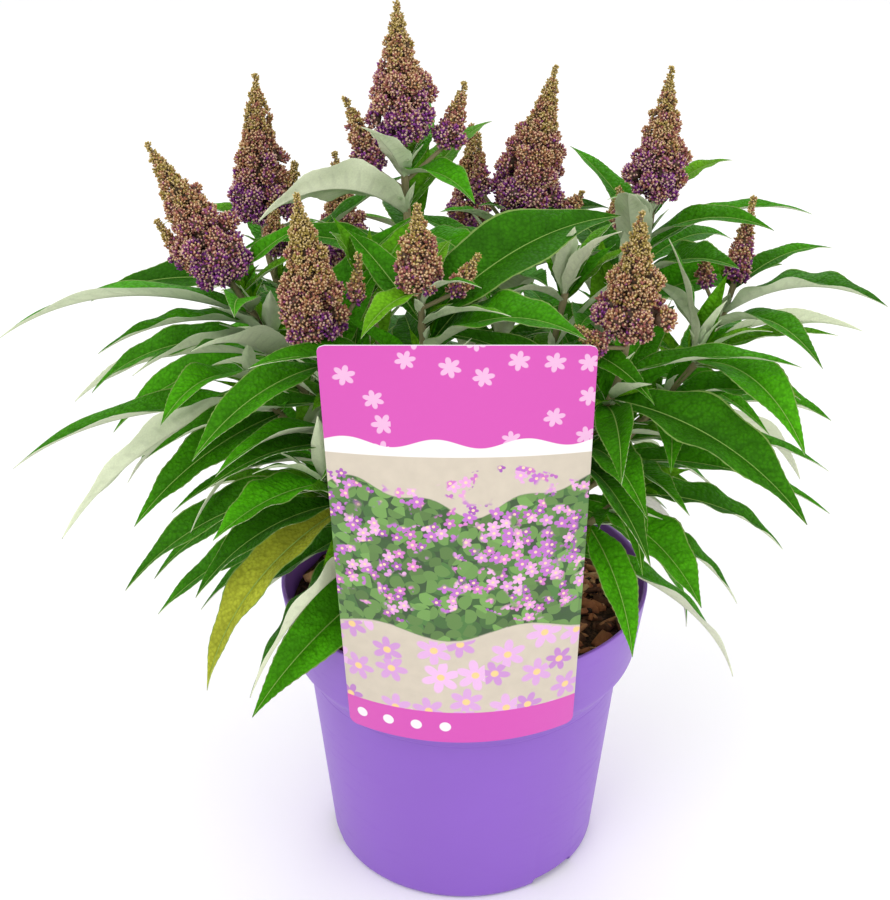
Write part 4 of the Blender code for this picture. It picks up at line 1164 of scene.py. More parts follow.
def printed_finish(band, field):
    """The card's printed face: a plain band at its head and foot, and a scatter of round flowers among
    leaves on a sandy ground between them. The pattern is laid out in metres from the card's lower left
    corner."""
    finish = Finish("printed_card", 0.22, 0.5)
    spot = finish.node("ShaderNodeUVMap", {"uv_map": "print"})
    u, v = finish.part(spot, 0), finish.part(spot, 1)
    grain = finish.noise(160.0, 3.0)
    ground = finish.mix(grain, shade(field, 0.90), shade(field, 1.08))
    petal, eye, pick = rosettes(finish, spot, 0.0058, 5.0, 0.0036, 0.50)
    hedge_foot = finish.wavy(u, HEDGE_FOOT, (0.004, 90.0, 0.0))
    hedge_head = finish.wavy(u, HEDGE_HEAD, (0.007, 62.0, 0.8), (0.003, 170.0, 0.0))
    hedge = finish.smooth(v - hedge_foot, 0.0, 0.0012) * finish.smooth(hedge_head - v, 0.0, 0.0012)
    ground = finish.mix(hedge, ground, (0.030, 0.075, 0.020))
    for cell, size, green in HEDGE_LEAVES:
        leafy, _, leaf_pick = rosettes(finish, spot, cell, 2.0, size, 0.02)
        greens = finish.mix(leaf_pick, shade(green, 0.6), shade(green, 1.5))
        ground = finish.mix(hedge * leafy, ground, greens)
    bloom_head = finish.wavy(u, BLOOM_HEAD, (0.006, 75.0, 2.0))
    bloom_foot = finish.wavy(u, BLOOM_FOOT, (0.005, 110.0, 1.0))
    blooming = finish.smooth(v - bloom_foot, 0.0, 0.001) * finish.smooth(bloom_head - v, 0.0, 0.001)
    blooming = blooming * finish.smooth(finish.noise(85.0, 1.0), 0.44, 0.50)
    ground = finish.mix(blooming * petal, ground, finish.ramp(pick, *BLOOM_TINTS))
    ground = finish.mix(blooming * eye, ground, (0.90, 0.66, 0.42))
    big, big_eye, big_pick = rosettes(finish, spot, 0.0170, 6.0, 0.0092, 0.40)
    low = finish.smooth(hedge_foot - v, 0.0, 0.0012)
    ground = finish.mix(low * big, ground, finish.mix(big_pick, (0.42, 0.14, 0.50), (0.80, 0.48, 0.76)))
    ground = finish.mix(low * big_eye, ground, (0.86, 0.60, 0.25))
    rim = finish.smooth(v.maths("ABSOLUTE", v - WHITE_STRIP), 0.0046, 0.0042)
    head_foot = finish.wavy(u, HEAD_BAND_FOOT, (0.0022, 6.0 * math.pi / CARD_WIDTH, 0.0))
    head = finish.smooth(v - head_foot, 0.0, 0.0005)
    sprig, _, sprig_pick = rosettes(finish, spot, 0.0150, 6.0, 0.0052, 0.45)
    band_colour = finish.mix(0.55 * sprig * (sprig_pick > 0.40), band, (0.90, 0.72, 0.86))
    ground = finish.mix(rim, ground, (0.86, 0.84, 0.82))
    ground = finish.mix(head, ground, band_colour)
    foot = finish.smooth(FOOT_BAND_HEAD - v, 0.0, 0.0005)
    ground = finish.mix(foot, ground, band)
    beside, above = u.maths("PINGPONG", u - FIRST_DOT, DOT_STEP / 2), v - DOT_HEIGHT
    disc = u.maths("SQRT", beside * beside + above * above)
    dots = finish.smooth(disc, 0.0030, 0.0025) * finish.smooth(LAST_DOT - u, 0.0, 0.0003)
    ground = finish.mix(dots, ground, (0.84, 0.80, 0.83))
    finish.colour(ground)
    finish.rough(0.20 + 0.08 * grain)
    return finish.material


def mesh_from_arrays(name, points, groups):
    """A mesh from an array of points and (faces, material of each face) groups of equal-sided faces."""
    mesh = bpy.data.meshes.new(name)
    mesh.vertices.add(len(points))
    mesh.vertices.foreach_set("co", np.ascontiguousarray(points, dtype=np.float32).ravel())
    sizes = np.concatenate([np.full(len(faces), faces.shape[1]) for faces, _ in groups])
    corners = np.concatenate([faces.ravel() for faces, _ in groups]).astype(np.int32)
    mesh.loops.add(len(corners))
    mesh.loops.foreach_set("vertex_index", corners)
    mesh.polygons.add(len(sizes))
    mesh.polygons.foreach_set("loop_start", (np.cumsum(sizes) - sizes).astype(np.int32))
    picks = np.concatenate([np.broadcast_to(pick, len(faces)) for faces, pick in groups])
    mesh.polygons.foreach_set("material_index", picks.astype(np.int32))
    mesh.polygons.foreach_set("use_smooth", np.ones(len(sizes), dtype=bool))
    mesh.update(calc_edges=True)
    return mesh


def piece(name, mesh, materials, slot, *nodes):
    """Links a finished mesh as a piece of the object: what it rides on, what it stands for and its
    finish."""
    for material in materials:
        mesh.materials.append(material)
    obj = linked(name, mesh)
    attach(obj, BODY)
    if nodes:
        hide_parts(*nodes)
    return obj


def mesh_of(name, work):
    """The mesh that a finished bmesh makes, smooth, with its normals outwards."""
    bmesh.ops.remove_doubles(work, verts=work.verts, dist=1e-6)
    bmesh.ops.recalc_face_normals(work, faces=work.faces)
    for face in work.faces:
        face.smooth = True
    return mesh_from(name, work)


def planned():
    """The plant's plan, worked out once."""
    if not PLAN:
        PLAN.extend(plan_plant())
    return PLAN


def mass_names():
    """The nodes of the masses of foliage."""
    return [shoot.name for shoot in SHOOTS]


def rounded(corners, steps=4):
    """An outline whose corners, (radius, height, rounding), are rounded off."""
    line = []
    for i, (radius, height, rounding) in enumerate(corners):
        here = Vector((radius, height))
        if rounding == 0.0 or i in (0, len(corners) - 1):
            line.append((radius, height))
            continue
        before, after = Vector(corners[i - 1][:2]), Vector(corners[i + 1][:2])
        start = here + (before - here).normalized() * min(rounding, (before - here).length * 0.48)
        end = here + (after - here).normalized() * min(rounding, (after - here).length * 0.48)
        for k in range(steps + 1):
            t = k / steps
            line.append(tuple(start.lerp(here, t).lerp(here.lerp(end, t), t)))
    return line


def drain_cutters():
    """(slots, holes) cut into the pot's foot, each a helper object of its own."""
    made = []
    middle = POT_BASE_RADIUS - DRAIN_SLOT_DEPTH / 2 + 0.004
    slot = Matrix.Diagonal((DRAIN_SLOT_DEPTH + 0.008, DRAIN_SLOT_WIDTH, 2 * DRAIN_SLOT_HEIGHT, 1.0))
    hole = Matrix.Diagonal((DRAIN_HOLE_RADIUS, DRAIN_HOLE_RADIUS, 0.03, 1.0))
    for name in ("drain_slots", "drain_holes"):
        work = bmesh.new()
        for i in range(DRAIN_SLOTS):
            turn = Matrix.Rotation(math.radians(DRAIN_SLOT_FIRST + 360.0 * i / DRAIN_SLOTS), 4, "Z")
            if name == "drain_slots":
                new = bmesh.ops.create_cube(work, size=1.0)["verts"]
                place = turn @ Matrix.Translation((middle, 0, 0)) @ slot
            else:
                bar = {"cap_ends": True, "segments": 32, "radius1": 1.0, "radius2": 1.0, "depth": 1.0}
                new = bmesh.ops.create_cone(work, **bar)["verts"]
                place = turn @ Matrix.Translation((middle - 0.006, 0, 0)) @ hole
            bmesh.ops.transform(work, matrix=place, verts=new)
        if name == "drain_slots":
            upright = [e for e in work.edges if abs(e.verts[0].co.z - e.verts[1].co.z) > 0.005]
            top = [e for e in work.edges if min(v.co.z for v in e.verts) > 0.002]
            edges = list(set(upright + top))
            bmesh.ops.bevel(work, geom=edges, offset=0.0016, segments=4, profile=0.5, affect="EDGES")
        made.append(linked(name, mesh_from(name, work)))
    return made


def pot_mesh(lip_rounding):
    """The pot's turned shell with rounded edges, its drain slots cut out."""
    band_foot = POT_HEIGHT - BAND_HEIGHT
    body_top = band_foot - BAND_SLOPE
    inner_top = POT_TOP_RADIUS - POT_WALL
    lip_foot = POT_HEIGHT - LIP_HEIGHT
    lean = (BODY_TOP_RADIUS - POT_BASE_RADIUS) / body_top
    bead = body_top - 0.0032
    corners = (
        (0.0, POT_FLOOR, 0.0),
        (POT_BASE_RADIUS - POT_WALL, POT_FLOOR, 0.002),
        (BODY_TOP_RADIUS - POT_WALL, body_top + 0.0005, 0.001),
        (BAND_FOOT_RADIUS - POT_WALL, band_foot + POT_WALL, 0.001),
        (inner_top - 0.0008, lip_foot, 0.0005),
        (inner_top - 0.0002, POT_HEIGHT, lip_rounding),
        (POT_TOP_RADIUS, POT_HEIGHT, lip_rounding),
        (POT_TOP_RADIUS - 0.0005, lip_foot, 0.0006),
        (BAND_FOOT_RADIUS + 0.0004, band_foot, 0.0022),
        (BODY_TOP_RADIUS, body_top, 0.0034),
        (BODY_TOP_RADIUS - lean * 0.0032, bead, 0.0002),
        (BODY_TOP_RADIUS - lean * 0.0036 - 0.0002, bead - 0.0004, 0.0002),
        (BODY_TOP_RADIUS - lean * 0.0042, bead - 0.0010, 0.0002),
        (POT_BASE_RADIUS + 0.0003, 0.0, 0.0042),
        (POT_BASE_RADIUS - 0.0060, 0.0, 0.0008),
        (POT_BASE_RADIUS - 0.0068, 0.0008, 0.0004),
        (0.0, 0.0008, 0.0),
    )
    work = spun(rounded(corners), STEPS_ROUND_POT)
    pot = linked("pot_shell", mesh_of("pot_shell", work))
    cutters = drain_cutters()
    for cutter in cutters:
        cut = pot.modifiers.new("Drain", "BOOLEAN")
        cut.operation = "DIFFERENCE"
        cut.object = cutter
        cut.solver = "EXACT"
    bpy.context.view_layer.update()
    work = work_of(pot)
    for helper in (pot, *cutters):
        bpy.data.objects.remove(helper)
    mesh = mesh_of("plant_pot", work)
    mark_sharp(mesh, 38.0)
    return mesh


def mark_sharp(mesh, degrees):
    """Marks the edges where the surface turns more than this as sharp."""
    work = bmesh.new()
    work.from_mesh(mesh)
    for edge in work.edges:
        edge.smooth = len(edge.link_faces) == 2 and edge.calc_face_angle(0.0) < math.radians(degrees)
    work.to_mesh(mesh)
    work.free()


def bed_radius():
    """The radius of the bed's edge."""
    return pot_outer_radius(SOIL_TOP - SOIL_EDGE_FALL) - (POT_WALL + 2 * CLEARANCE) - 0.0004


def compost_bed():
    """The compost as one body with a rough top that is highest round the trunk."""
    band_foot = POT_HEIGHT - BAND_HEIGHT
    gap = POT_WALL + 2 * CLEARANCE
    edge = SOIL_TOP - SOIL_EDGE_FALL
    shares = [i / BED_RINGS for i in range(BED_RINGS + 1)]
    profile = [(bed_radius() * share, SOIL_TOP - SOIL_EDGE_FALL * share**BED_FALL_POWER) for share in shares]
    profile += [
        (BAND_FOOT_RADIUS - gap, band_foot + 2 * POT_WALL),
        (BODY_TOP_RADIUS - gap, band_foot - BAND_SLOPE),
        (POT_BASE_RADIUS - gap, POT_FLOOR + CLEARANCE),
        (0.0, POT_FLOOR + CLEARANCE),
    ]
    work = spun(profile, STEPS_ROUND_BED)
    for vert in work.verts:
        if vert.co.z > edge - 0.001:
            spread = vert.co * 130.0
            lump = noise.noise(spread) * 0.0016 + noise.noise(spread * 3.1) * 0.0009
            vert.co.z += min(lump, SOIL_TOP + 0.0012 - vert.co.z)
    return mesh_of("compost_bed", work)


def chip_template(rng):
    """(points, faces) of one rough chip about one unit long: a slab with its corners pulled about."""
    work = bmesh.new()
    bmesh.ops.create_cube(work, size=1.0)
    bmesh.ops.subdivide_edges(work, edges=list(work.edges), cuts=1, use_grid_fill=True)
    for vert in work.verts:
        vert.co = Vector(vert.co[:]).lerp(vert.co.normalized() * 0.55, 0.35)
        vert.co += Vector((rng.uniform(-1, 1), rng.uniform(-1, 1), rng.uniform(-1, 1))) * 0.10
    bmesh.ops.triangulate(work, faces=work.faces)
    bmesh.ops.recalc_face_normals(work, faces=work.faces)
    return arrays_of(work)


def bed_height(radius):
    """The height of the bed this far from the axis."""
    return SOIL_TOP - SOIL_EDGE_FALL * (radius / bed_radius()) ** BED_FALL_POWER


def chips_mesh(count, longest, tints):
    """Chips and strips of bark that lie over and through each other on the bed."""
    rng = random.Random(CHIP_SEED)
    templates = [chip_template(rng) for _ in range(CHIP_KINDS)]
    points, faces, picks, used = [], [], [], 0
    reach = pot_outer_radius(SOIL_TOP) - POT_WALL - 0.0035
    for i in range(count):
        template, template_faces = templates[i % len(templates)]
        long = longest * rng.uniform(0.30, 1.0) ** 1.2
        size = (long, long * rng.uniform(0.18, 0.55), min(0.0026, long * rng.uniform(0.10, 0.26)))
        radius = (reach - long * 0.42) * math.sqrt(rng.random())
        if radius < TRUNK_FLARE_RADIUS + 0.004:
            continue
        turn = rng.uniform(0, math.tau)
        height = bed_height(radius) + rng.uniform(-0.0002, 0.0026)
        lie = Matrix.Rotation(rng.uniform(0, math.tau), 4, "Z") @ Matrix.Rotation(rng.gauss(0, 0.22), 4, "Y")
        lie = lie @ Matrix.Rotation(rng.gauss(0, 0.30), 4, "X") @ Matrix.Diagonal((*size, 1.0))
        where = Matrix.Translation((radius * math.cos(turn), radius * math.sin(turn), height)) @ lie
        table = np.array(where)
        points.append(template @ table[:3, :3].T + table[:3, 3])
        faces.append(template_faces + used)
        picks.append(np.full(len(template_faces), rng.choices(range(tints), CHIP_WEIGHTS)[0]))
        used += len(template)
    group = (np.concatenate(faces), np.concatenate(picks))
    return mesh_from_arrays("bark_chips", np.concatenate(points), [group])


def push_out(work, faces, way):
    """Extrudes faces of a bmesh this far."""
    made = bmesh.ops.extrude_face_region(work, geom=faces)["geom"]
    bmesh.ops.translate(work, vec=way, verts=[v for v in made if isinstance(v, bmesh.types.BMVert)])


def card_mesh(corner):
    """The card as a fine curved sheet with rounded corners, its hook, and the print's own layout on its
    face."""
    work = bmesh.new()
    columns, rows = 48, 72
    bmesh.ops.create_grid(work, x_segments=columns, y_segments=rows, size=0.5)
    layer = work.loops.layers.uv.new("print")
    flat = {}
    for vert in work.verts:
        up = vert.co.y + 0.5
        share = 0.5 - 0.5 * math.cos(math.pi * up)
        height = CARD_HEIGHT * (0.25 * up + 0.75 * share)
        near = min(height, CARD_HEIGHT - height)
        pull = corner - math.sqrt(max(corner**2 - (corner - near) ** 2, 0.0)) if near < corner else 0.0
        across = 2 * vert.co.x * (CARD_WIDTH / 2 - pull)
        flat[vert] = (across + CARD_WIDTH / 2, height)
        vert.co = card_face(across, CARD_FOOT + height)
    for face in work.faces:
        for loop in face.loops:
            loop[layer].uv = flat[loop.vert]
    bmesh.ops.recalc_face_normals(work, faces=work.faces)
    if sum(face.normal.y for face in work.faces) > 0:
        bmesh.ops.reverse_faces(work, faces=work.faces)
    push_out(work, list(work.faces), (0, CARD_THICKNESS, 0))
    bmesh.ops.recalc_face_normals(work, faces=work.faces)
    for face in work.faces:
        face.material_index = 0 if face.normal.y < -0.6 else 1
    hook_foot = POT_HEIGHT + CLEARANCE
    card_back = 0.6 * CARD_THICKNESS - card_middle(hook_foot)[1]
    outline = [
        (card_back, hook_foot + HOOK_THICKNESS),
        (card_back, hook_foot),
        (-HOOK_INNER_FACE, hook_foot),
        (-HOOK_INNER_FACE, hook_foot - HOOK_DROP),
        (-HOOK_INNER_FACE + HOOK_THICKNESS, hook_foot - HOOK_DROP),
        (-HOOK_INNER_FACE + HOOK_THICKNESS, hook_foot + HOOK_THICKNESS),
    ]
    face = work.faces.new([work.verts.new((-HOOK_WIDTH / 2, y, z)) for y, z in outline])
    face.material_index = 1
    push_out(work, [face], (HOOK_WIDTH, 0, 0))
    mesh = mesh_of("card_label", work)
    mark_sharp(mesh, 40.0)
    return mesh


def wood_mesh(relief):
    """The trunk and its boughs, with the bark's furrows."""
    foot = Vector((0, 0, SOIL_TOP - 0.001))
    shares = (0.0, 0.04, 0.08, 0.14, 0.20, 0.28, 0.36, 0.44, 0.52, 0.60, 0.68, 0.76, 0.84, 0.90, 0.95, 0.99)
    widths = (1.56, 1.44, 1.30, 1.16, 1.06, 1.02, 1.0, 1.0, 1.0, 1.0, 1.0, 1.0, 0.96, 0.90, 0.78, 0.45)
    limbs = [([foot + TRUNK_LEAN * (TRUNK_HEIGHT * s) for s in shares], [TRUNK_RADIUS * w for w in widths])]
    for mass in planned():
        if mass.shoot.bare:
            line = part_of_path(mass.path, 0.0, mass.shoot.bare + 0.004, LIMB_STEPS)
            limbs.append((line, tapered(BOUGH_FOOT_RADIUS, BOUGH_TIP_RADIUS, LIMB_STEPS)))
    work = limbs_work(limbs, 20)
    bmesh.ops.remove_doubles(work, verts=work.verts, dist=1e-6)
    bmesh.ops.recalc_face_normals(work, faces=work.faces)
    work.normal_update()
    for vert in work.verts:
        spot = Vector((vert.co.x * 520, vert.co.y * 520, vert.co.z * 90))
        furrow = 1.0 - abs(noise.noise(spot)) * 2.0
        vert.co += vert.normal * (relief * (furrow - 0.7))
    return mesh_of("stool_and_boughs", work)


def stems_mesh():
    """The leafy stems, the stalks of the small spikes, and the axis inside each spike."""
    limbs = []
    for mass in planned():
        shoot = mass.shoot
        line = part_of_path(mass.path, shoot.bare, 1.0, STEM_STEPS)
        radii = tapered(BOUGH_TIP_RADIUS, STEM_TIP_RADIUS, STEM_STEPS)
        for leaf in mass.leaves:
            near = min(range(len(line)), key=lambda k: (line[k] - leaf.root).length)
            radii[near] *= 1.10
        limbs.append((line, radii))
        for spike, stalk in mass.spikes:
            if stalk:
                root, end = stalk
                line = curve_points(root, root.lerp(end, 0.35), end.lerp(root, 0.25), end, 8)
                limbs.append((line, [TWIG_RADIUS * 0.85] * 9))
            tip = spike.base + spike.direction * spike.length
            limbs.append((part_of_path([spike.base, tip], 0.0, 0.985, 8), tapered(TWIG_RADIUS, 0.0005, 8)))
    return mesh_of("stems_and_stalks", limbs_work(limbs, 10))


def blade_frames(leaf, shares):
    """For an array of shares of the leaf's length: its points, side and up directions, as arrays."""
    steps = np.linspace(0.0, 1.0, FRAME_STEPS + 1)
    late = np.clip(steps - 0.5 / MIDRIB_STEPS, 0.0, 1.0)
    rise = np.radians(leaf.rise - leaf.droop * late**1.25)
    heading = np.radians(leaf.heading + leaf.sweep * late)
    along = np.stack([np.cos(heading) * np.cos(rise), np.sin(heading) * np.cos(rise), np.sin(rise)], axis=1)
    side = np.stack([np.sin(heading), -np.cos(heading), np.zeros_like(heading)], axis=1)
    up = np.cross(side, along)
    roll = np.radians(leaf.roll * np.minimum(1.0, 2.5 * late))[:, None]
    sides = side * np.cos(roll) - up * np.sin(roll)
    ups = up * np.cos(roll) + side * np.sin(roll)
    middles = (along[1:] + along[:-1]) / 2 * (leaf.length / FRAME_STEPS)
    points = np.array(leaf.root[:]) + np.concatenate([np.zeros((1, 3)), np.cumsum(middles, axis=0)])
    flat = shares.ravel()
    made = []
    for table in (points, sides, ups):
        columns = [np.interp(flat, steps, table[:, k]) for k in range(3)]
        made.append(np.stack(columns, axis=1).reshape(*shares.shape, 3))
    return made


def outline_shares(s):
    """outline_share for an array."""
    inside = np.clip(s, 1e-6, 1.0 - 1e-6)
    return np.sin(np.pi * inside**0.75) ** 1.2


def leaf_points(leaf, grid, rng):
    """(points, how much of a vein each is) of one leaf: its upper side, then its underside's inner
    columns."""
    rows = grid.veins * grid.rows + 1
    columns = np.array(grid.columns)
    away = np.abs(columns)
    scale = leaf.length / LEAF_LENGTH
    base = np.linspace(0.0, 0.986, rows)[:, None]
    shares = np.clip(base + LEAF_ROW_SLANT * base * (1.0 - base) * away[None, :], 0.0, 0.993)
    half = leaf.width / 2 * outline_shares(shares) + 0.0010 * scale * (1.0 - shares) ** 9
    rib = np.minimum(MIDRIB_HALF_WIDTH * (1.0 - 0.72 * shares) * (0.5 + 0.5 * scale), 0.32 * half)
    offset = half * columns[None, :]
    is_rib = (away < 0.1) & (away > 0.0)
    offset = np.where(is_rib[None, :], rib * np.sign(columns)[None, :], offset)
    turn = (np.arange(rows) % grid.rows) / grid.rows
    vein = (turn == 0.0).astype(float)[:, None] * np.ones_like(shares)
    body = np.minimum(1.0, half / 0.004)
    in_fields = (away[None, :] > 0.1) * (away[None, :] < 0.9)
    quilt = -np.cos(2 * np.pi * turn)[:, None] * QUILTING_HEIGHT * body * in_fields
    teeth = np.where(np.arange(rows) % 2 == 0, TOOTH_OUT, -TOOTH_IN)[:, None] * body
    offset = offset + np.where(away[None, :] == 1.0, teeth * np.sign(columns)[None, :], 0.0)
    waves = rng.uniform(2.2, 4.4)
    late = rng.uniform(0, math.tau)
    phase = waves * 2 * np.pi * shares + late + 1.3 * np.sign(columns)[None, :]
    wave = half * 0.10 * np.sin(phase) * away[None, :] ** 2
    lift = half * (0.56 * away - 0.20 * away**2)[None, :] + quilt + wave
    middle, side, up = blade_frames(leaf, shares)
    top = middle + side * offset[..., None] + up * lift[..., None]
    keel = np.where(away < 1e-9, KEEL_DEPTH, np.where(away < 0.1, KEEL_DEPTH * 0.35, 0.0))[None, :]
    drop = BLADE_THICKNESS + keel * (1.0 - shares) * scale
    drop = np.minimum(drop, 0.6 * half + 0.0002)
    under = (top - up * drop[..., None])[:, 1:-1]
    points = np.concatenate([top.reshape(-1, 3), under.reshape(-1, 3)])
    inner = vein * (away[None, :] < 0.95) + (away[None, :] < 0.1)
    marks = np.concatenate([np.clip(inner, 0, 1).ravel(), np.clip(inner[:, 1:-1], 0, 1).ravel()])
    return points, marks


def leaf_faces(grid):
    """(quads, part of each, triangles, part of each, margin points) that every leaf of this grid shares. The
    parts are 0 blade, 1 midrib, 2 underside and 3 margin."""
    rows, columns = grid.veins * grid.rows + 1, len(grid.columns)
    top = np.arange(rows * columns).reshape(rows, columns)
    under = top.copy()
    under[:, 1:-1] = rows * columns + np.arange(rows * (columns - 2)).reshape(rows, columns - 2)
    quads, parts = [], []
    for j in range(columns - 1):
        near, far = sorted((abs(grid.columns[j]), abs(grid.columns[j + 1])))
        part = 1 if far < 0.1 else 3 if near > 0.9 else 0
        quads.append(np.stack([top[:-1, j], top[:-1, j + 1], top[1:, j + 1], top[1:, j]], axis=1))
        parts.append(np.full(rows - 1, part))
        quads.append(np.stack([under[:-1, j], under[1:, j], under[1:, j + 1], under[:-1, j + 1]], axis=1))
        parts.append(np.full(rows - 1, 2))
    for j in range(1, columns - 2):
        quads.append(np.array([[top[0, j + 1], top[0, j], under[0, j], under[0, j + 1]]]))
        quads.append(np.array([[top[-1, j], top[-1, j + 1], under[-1, j + 1], under[-1, j]]]))
        parts.append(np.array([0, 0]))
    ends = (
        (top[0, 1], top[0, 0], under[0, 1]),
        (top[0, -1], top[0, -2], under[0, -2]),
        (top[-1, 0], top[-1, 1], under[-1, 1]),
        (top[-1, -2], top[-1, -1], under[-1, -2]),
    )
    margin = np.zeros(rows * columns + rows * (columns - 2), dtype=bool)
    margin[top[:, 0]] = True
    margin[top[:, -1]] = True
    return np.concatenate(quads), np.concatenate(parts), np.array(ends), np.zeros(4, dtype=int), margin


def leaves_mesh(name, leaves, grid, seed):
    """All these leaves, each (leaf, upper, midrib and underside material), as one mesh."""
    rng = random.Random(seed)
    quads, parts, triangles, end_parts, margin = leaf_faces(grid)
    size = len(margin)
    points, marks, all_quads, all_parts, all_ends, end_picks = [], [], [], [], [], []
    for i, (leaf, slots) in enumerate(leaves):
        places, veins = leaf_points(leaf, grid, rng)
        table = np.array(slots)
        points.append(places)
        marks.append(veins)
        all_quads.append(quads + i * size)
        all_parts.append(table[parts])
        all_ends.append(triangles + i * size)
        end_picks.append(table[end_parts])
    blades = (np.concatenate(all_quads), np.concatenate(all_parts))
    groups = [blades, (np.concatenate(all_ends), np.concatenate(end_picks))]
    mesh = mesh_from_arrays(name, np.concatenate(points), groups)
    layer = mesh.attributes.new("vein", "FLOAT", "POINT")
    layer.data.foreach_set("value", np.concatenate(marks).astype(np.float32))
    ends = np.empty(len(mesh.edges) * 2, dtype=np.int32)
    mesh.edges.foreach_get("vertices", ends)
    ends = ends.reshape(-1, 2)
    on_margin = np.tile(margin, len(leaves))
    sharp = mesh.attributes.new("sharp_edge", "BOOLEAN", "EDGE")
    sharp.data.foreach_set("value", on_margin[ends[:, 0]] & on_margin[ends[:, 1]])
    return mesh


def axil_leaves(rng):
    """The tufts of young leaves in the axils, up to three to each leaf's root."""
    tufts = []
    spike_feet = [spike.base for mass in planned() for spike, _ in mass.spikes]
    for mass in planned():
        for leaf in mass.leaves:
            for hand in TUFT_HANDS:
                if rng.random() < TUFTS_LEFT_OUT:
                    continue
                length = LEAST_TUFT + TUFT_RANGE * rng.random() ** 1.5
                if min((leaf.root - foot).length for foot in spike_feet) < SPIKE_SURROUND:
                    length = min(length, SHORT_TUFT)
                heading = leaf.heading + hand * rng.uniform(22, 60)
                rise, droop = min(leaf.rise + rng.uniform(18, 52), 80.0), rng.uniform(10, 55)
                width, roll = length / rng.uniform(3.6, 5.0), rng.uniform(-30, 30)
                small = Leaf(leaf.root, heading, rise, droop, length, width, roll=roll)
                if not in_the_way_of_pot_or_card(leaf_tip(small)):
                    tufts.append(small)
    return tufts


def bud_template():
    """(points, faces, tip faces) of a bud one unit long and round, on +Z."""
    sides = BUD_SIDES
    points = [(0.0, 0.0, BUD_RINGS[0][0])]
    for height, radius in BUD_RINGS[1:3]:
        twist = 0.0 if height < 0 else math.pi / sides
        turns = [math.tau * k / sides + twist for k in range(sides)]
        points += [(radius * math.cos(turn), radius * math.sin(turn), height) for turn in turns]
    points.append((0.0, 0.0, BUD_RINGS[3][0]))
    top = 1 + sides
    faces = [(0, 1 + (k + 1) % sides, 1 + k) for k in range(sides)]
    for k in range(sides):
        other = (k + 1) % sides
        faces += [(1 + k, 1 + other, top + k), (1 + other, top + other, top + k)]
    faces += [(top + k, top + (k + 1) % sides, top + sides) for k in range(sides)]
    return np.array(points), np.array(faces), np.arange(4 * sides) >= 3 * sides


def spike_clusters(spike, size, rng):
    """(centre, radius, share below the tip, direction out) of each cluster of buds up a spike, in tiers
    that shrink to single whorls at its tip. Some clusters stand out of their tier, and the one inside a
    tier has no direction out."""
    turn = spike.direction.to_track_quat("Z", "X").to_matrix()
    clusters = []
    height, start = 0.0, rng.uniform(0, math.tau)
    while height < spike.length * 0.99:
        down = 1.0 - height / spike.length
        reach = max(spike_radius_at(down, spike.radius) - 0.55 * size, LEAST_REACH) * rng.uniform(0.86, 1.10)
        radius = max(CLUSTER_SHARE * reach, LEAST_CLUSTER)
        count = next((number for least, number in CLUSTERS_IN_A_TIER if reach > least), 1)
        start += math.pi / count + rng.uniform(-0.15, 0.15)
        for k in range(count):
            way = start + math.tau * k / count + rng.uniform(-0.16, 0.16)
            away = max(reach - radius, 0.0) if count > 1 else 0.0
            swell = rng.uniform(0.84, 1.16)
            if rng.random() < STANDING_OUT and count > 1:
                away += 0.95 * radius * rng.random()
                swell *= 0.86
            out = Vector((math.cos(way), math.sin(way), 0.0))
            level = height + rng.uniform(-0.16, 0.16) * radius + radius * 0.3
            centre = spike.base + turn @ (out * away + Vector((0, 0, level)))
            clusters.append((centre, radius * swell, down, turn @ (out + Vector((0, 0, 0.25))).normalized()))
        if count > 1:
            centre = spike.base + turn @ Vector((0, 0, height + radius * 0.3))
            clusters.append((centre, reach * INNER_CLUSTER_SHARE, down, Vector()))
        height += TIER_STEP * radius if count > 1 else WHORL_STEP
    return clusters


def buds_of(spike, size, rng):
    """Arrays for one spike's buds: places, directions, sizes and shares below the tip, and its clusters."""
    clusters = spike_clusters(spike, size, rng)
    centres = np.array([c[0][:] for c in clusters])
    radii = np.array([c[1] for c in clusters])
    axis = np.array(spike.direction[:])
    scatter = np.random.default_rng(rng.randrange(1 << 30))
    places, ways, sizes, downs, owners = [], [], [], [], []
    for k, (centre, radius, down, out) in enumerate(clusters):
        width = size * (0.70 + 0.40 * down)
        inner = out.length < 0.5
        count = max(5, round(4 * math.pi * radius**2 / (width**2 * (1.7 if inner else 1.0))))
        i = np.arange(count) + 0.5
        level = 1.0 - 2.0 * i / count
        ring = np.sqrt(1.0 - level**2)
        turn = math.pi * (1 + 5**0.5) * i + rng.uniform(0, math.tau)
        way = np.stack([ring * np.cos(turn), ring * np.sin(turn), level], axis=1)
        way += scatter.normal(0.0, 0.30 * width / radius, way.shape)
        way /= np.linalg.norm(way, axis=1)[:, None]
        outer = np.array(out[:])
        spread = way * radius * scatter.uniform(0.82, 1.10, (count, 1))
        spot = centres[k] + spread * 0.92 + outer * (spread @ outer)[:, None] * 0.22
        gaps = np.linalg.norm(spot[:, None, :] - centres[None, :, :], axis=2)
        gaps[:, k] = 1.0
        clear = (gaps > radii[None, :] * 0.96).all(axis=1)
        outward = way @ outer > (-2.0 if inner else -0.05) if radius > 0.0013 else np.ones(count, dtype=bool)
        keep = clear & outward
        if not keep.any():
            continue
        lean = way[keep] * 0.85 + axis * 0.40 + scatter.normal(0.0, 0.22, (keep.sum(), 3))
        places.append(spot[keep])
        ways.append(lean / np.linalg.norm(lean, axis=1)[:, None])
        sizes.append(np.full(keep.sum(), width))
        downs.append(np.full(keep.sum(), down))
        owners.append(np.full(keep.sum(), k))
    return [np.concatenate(table) for table in (places, ways, sizes, downs, owners)] + [clusters]


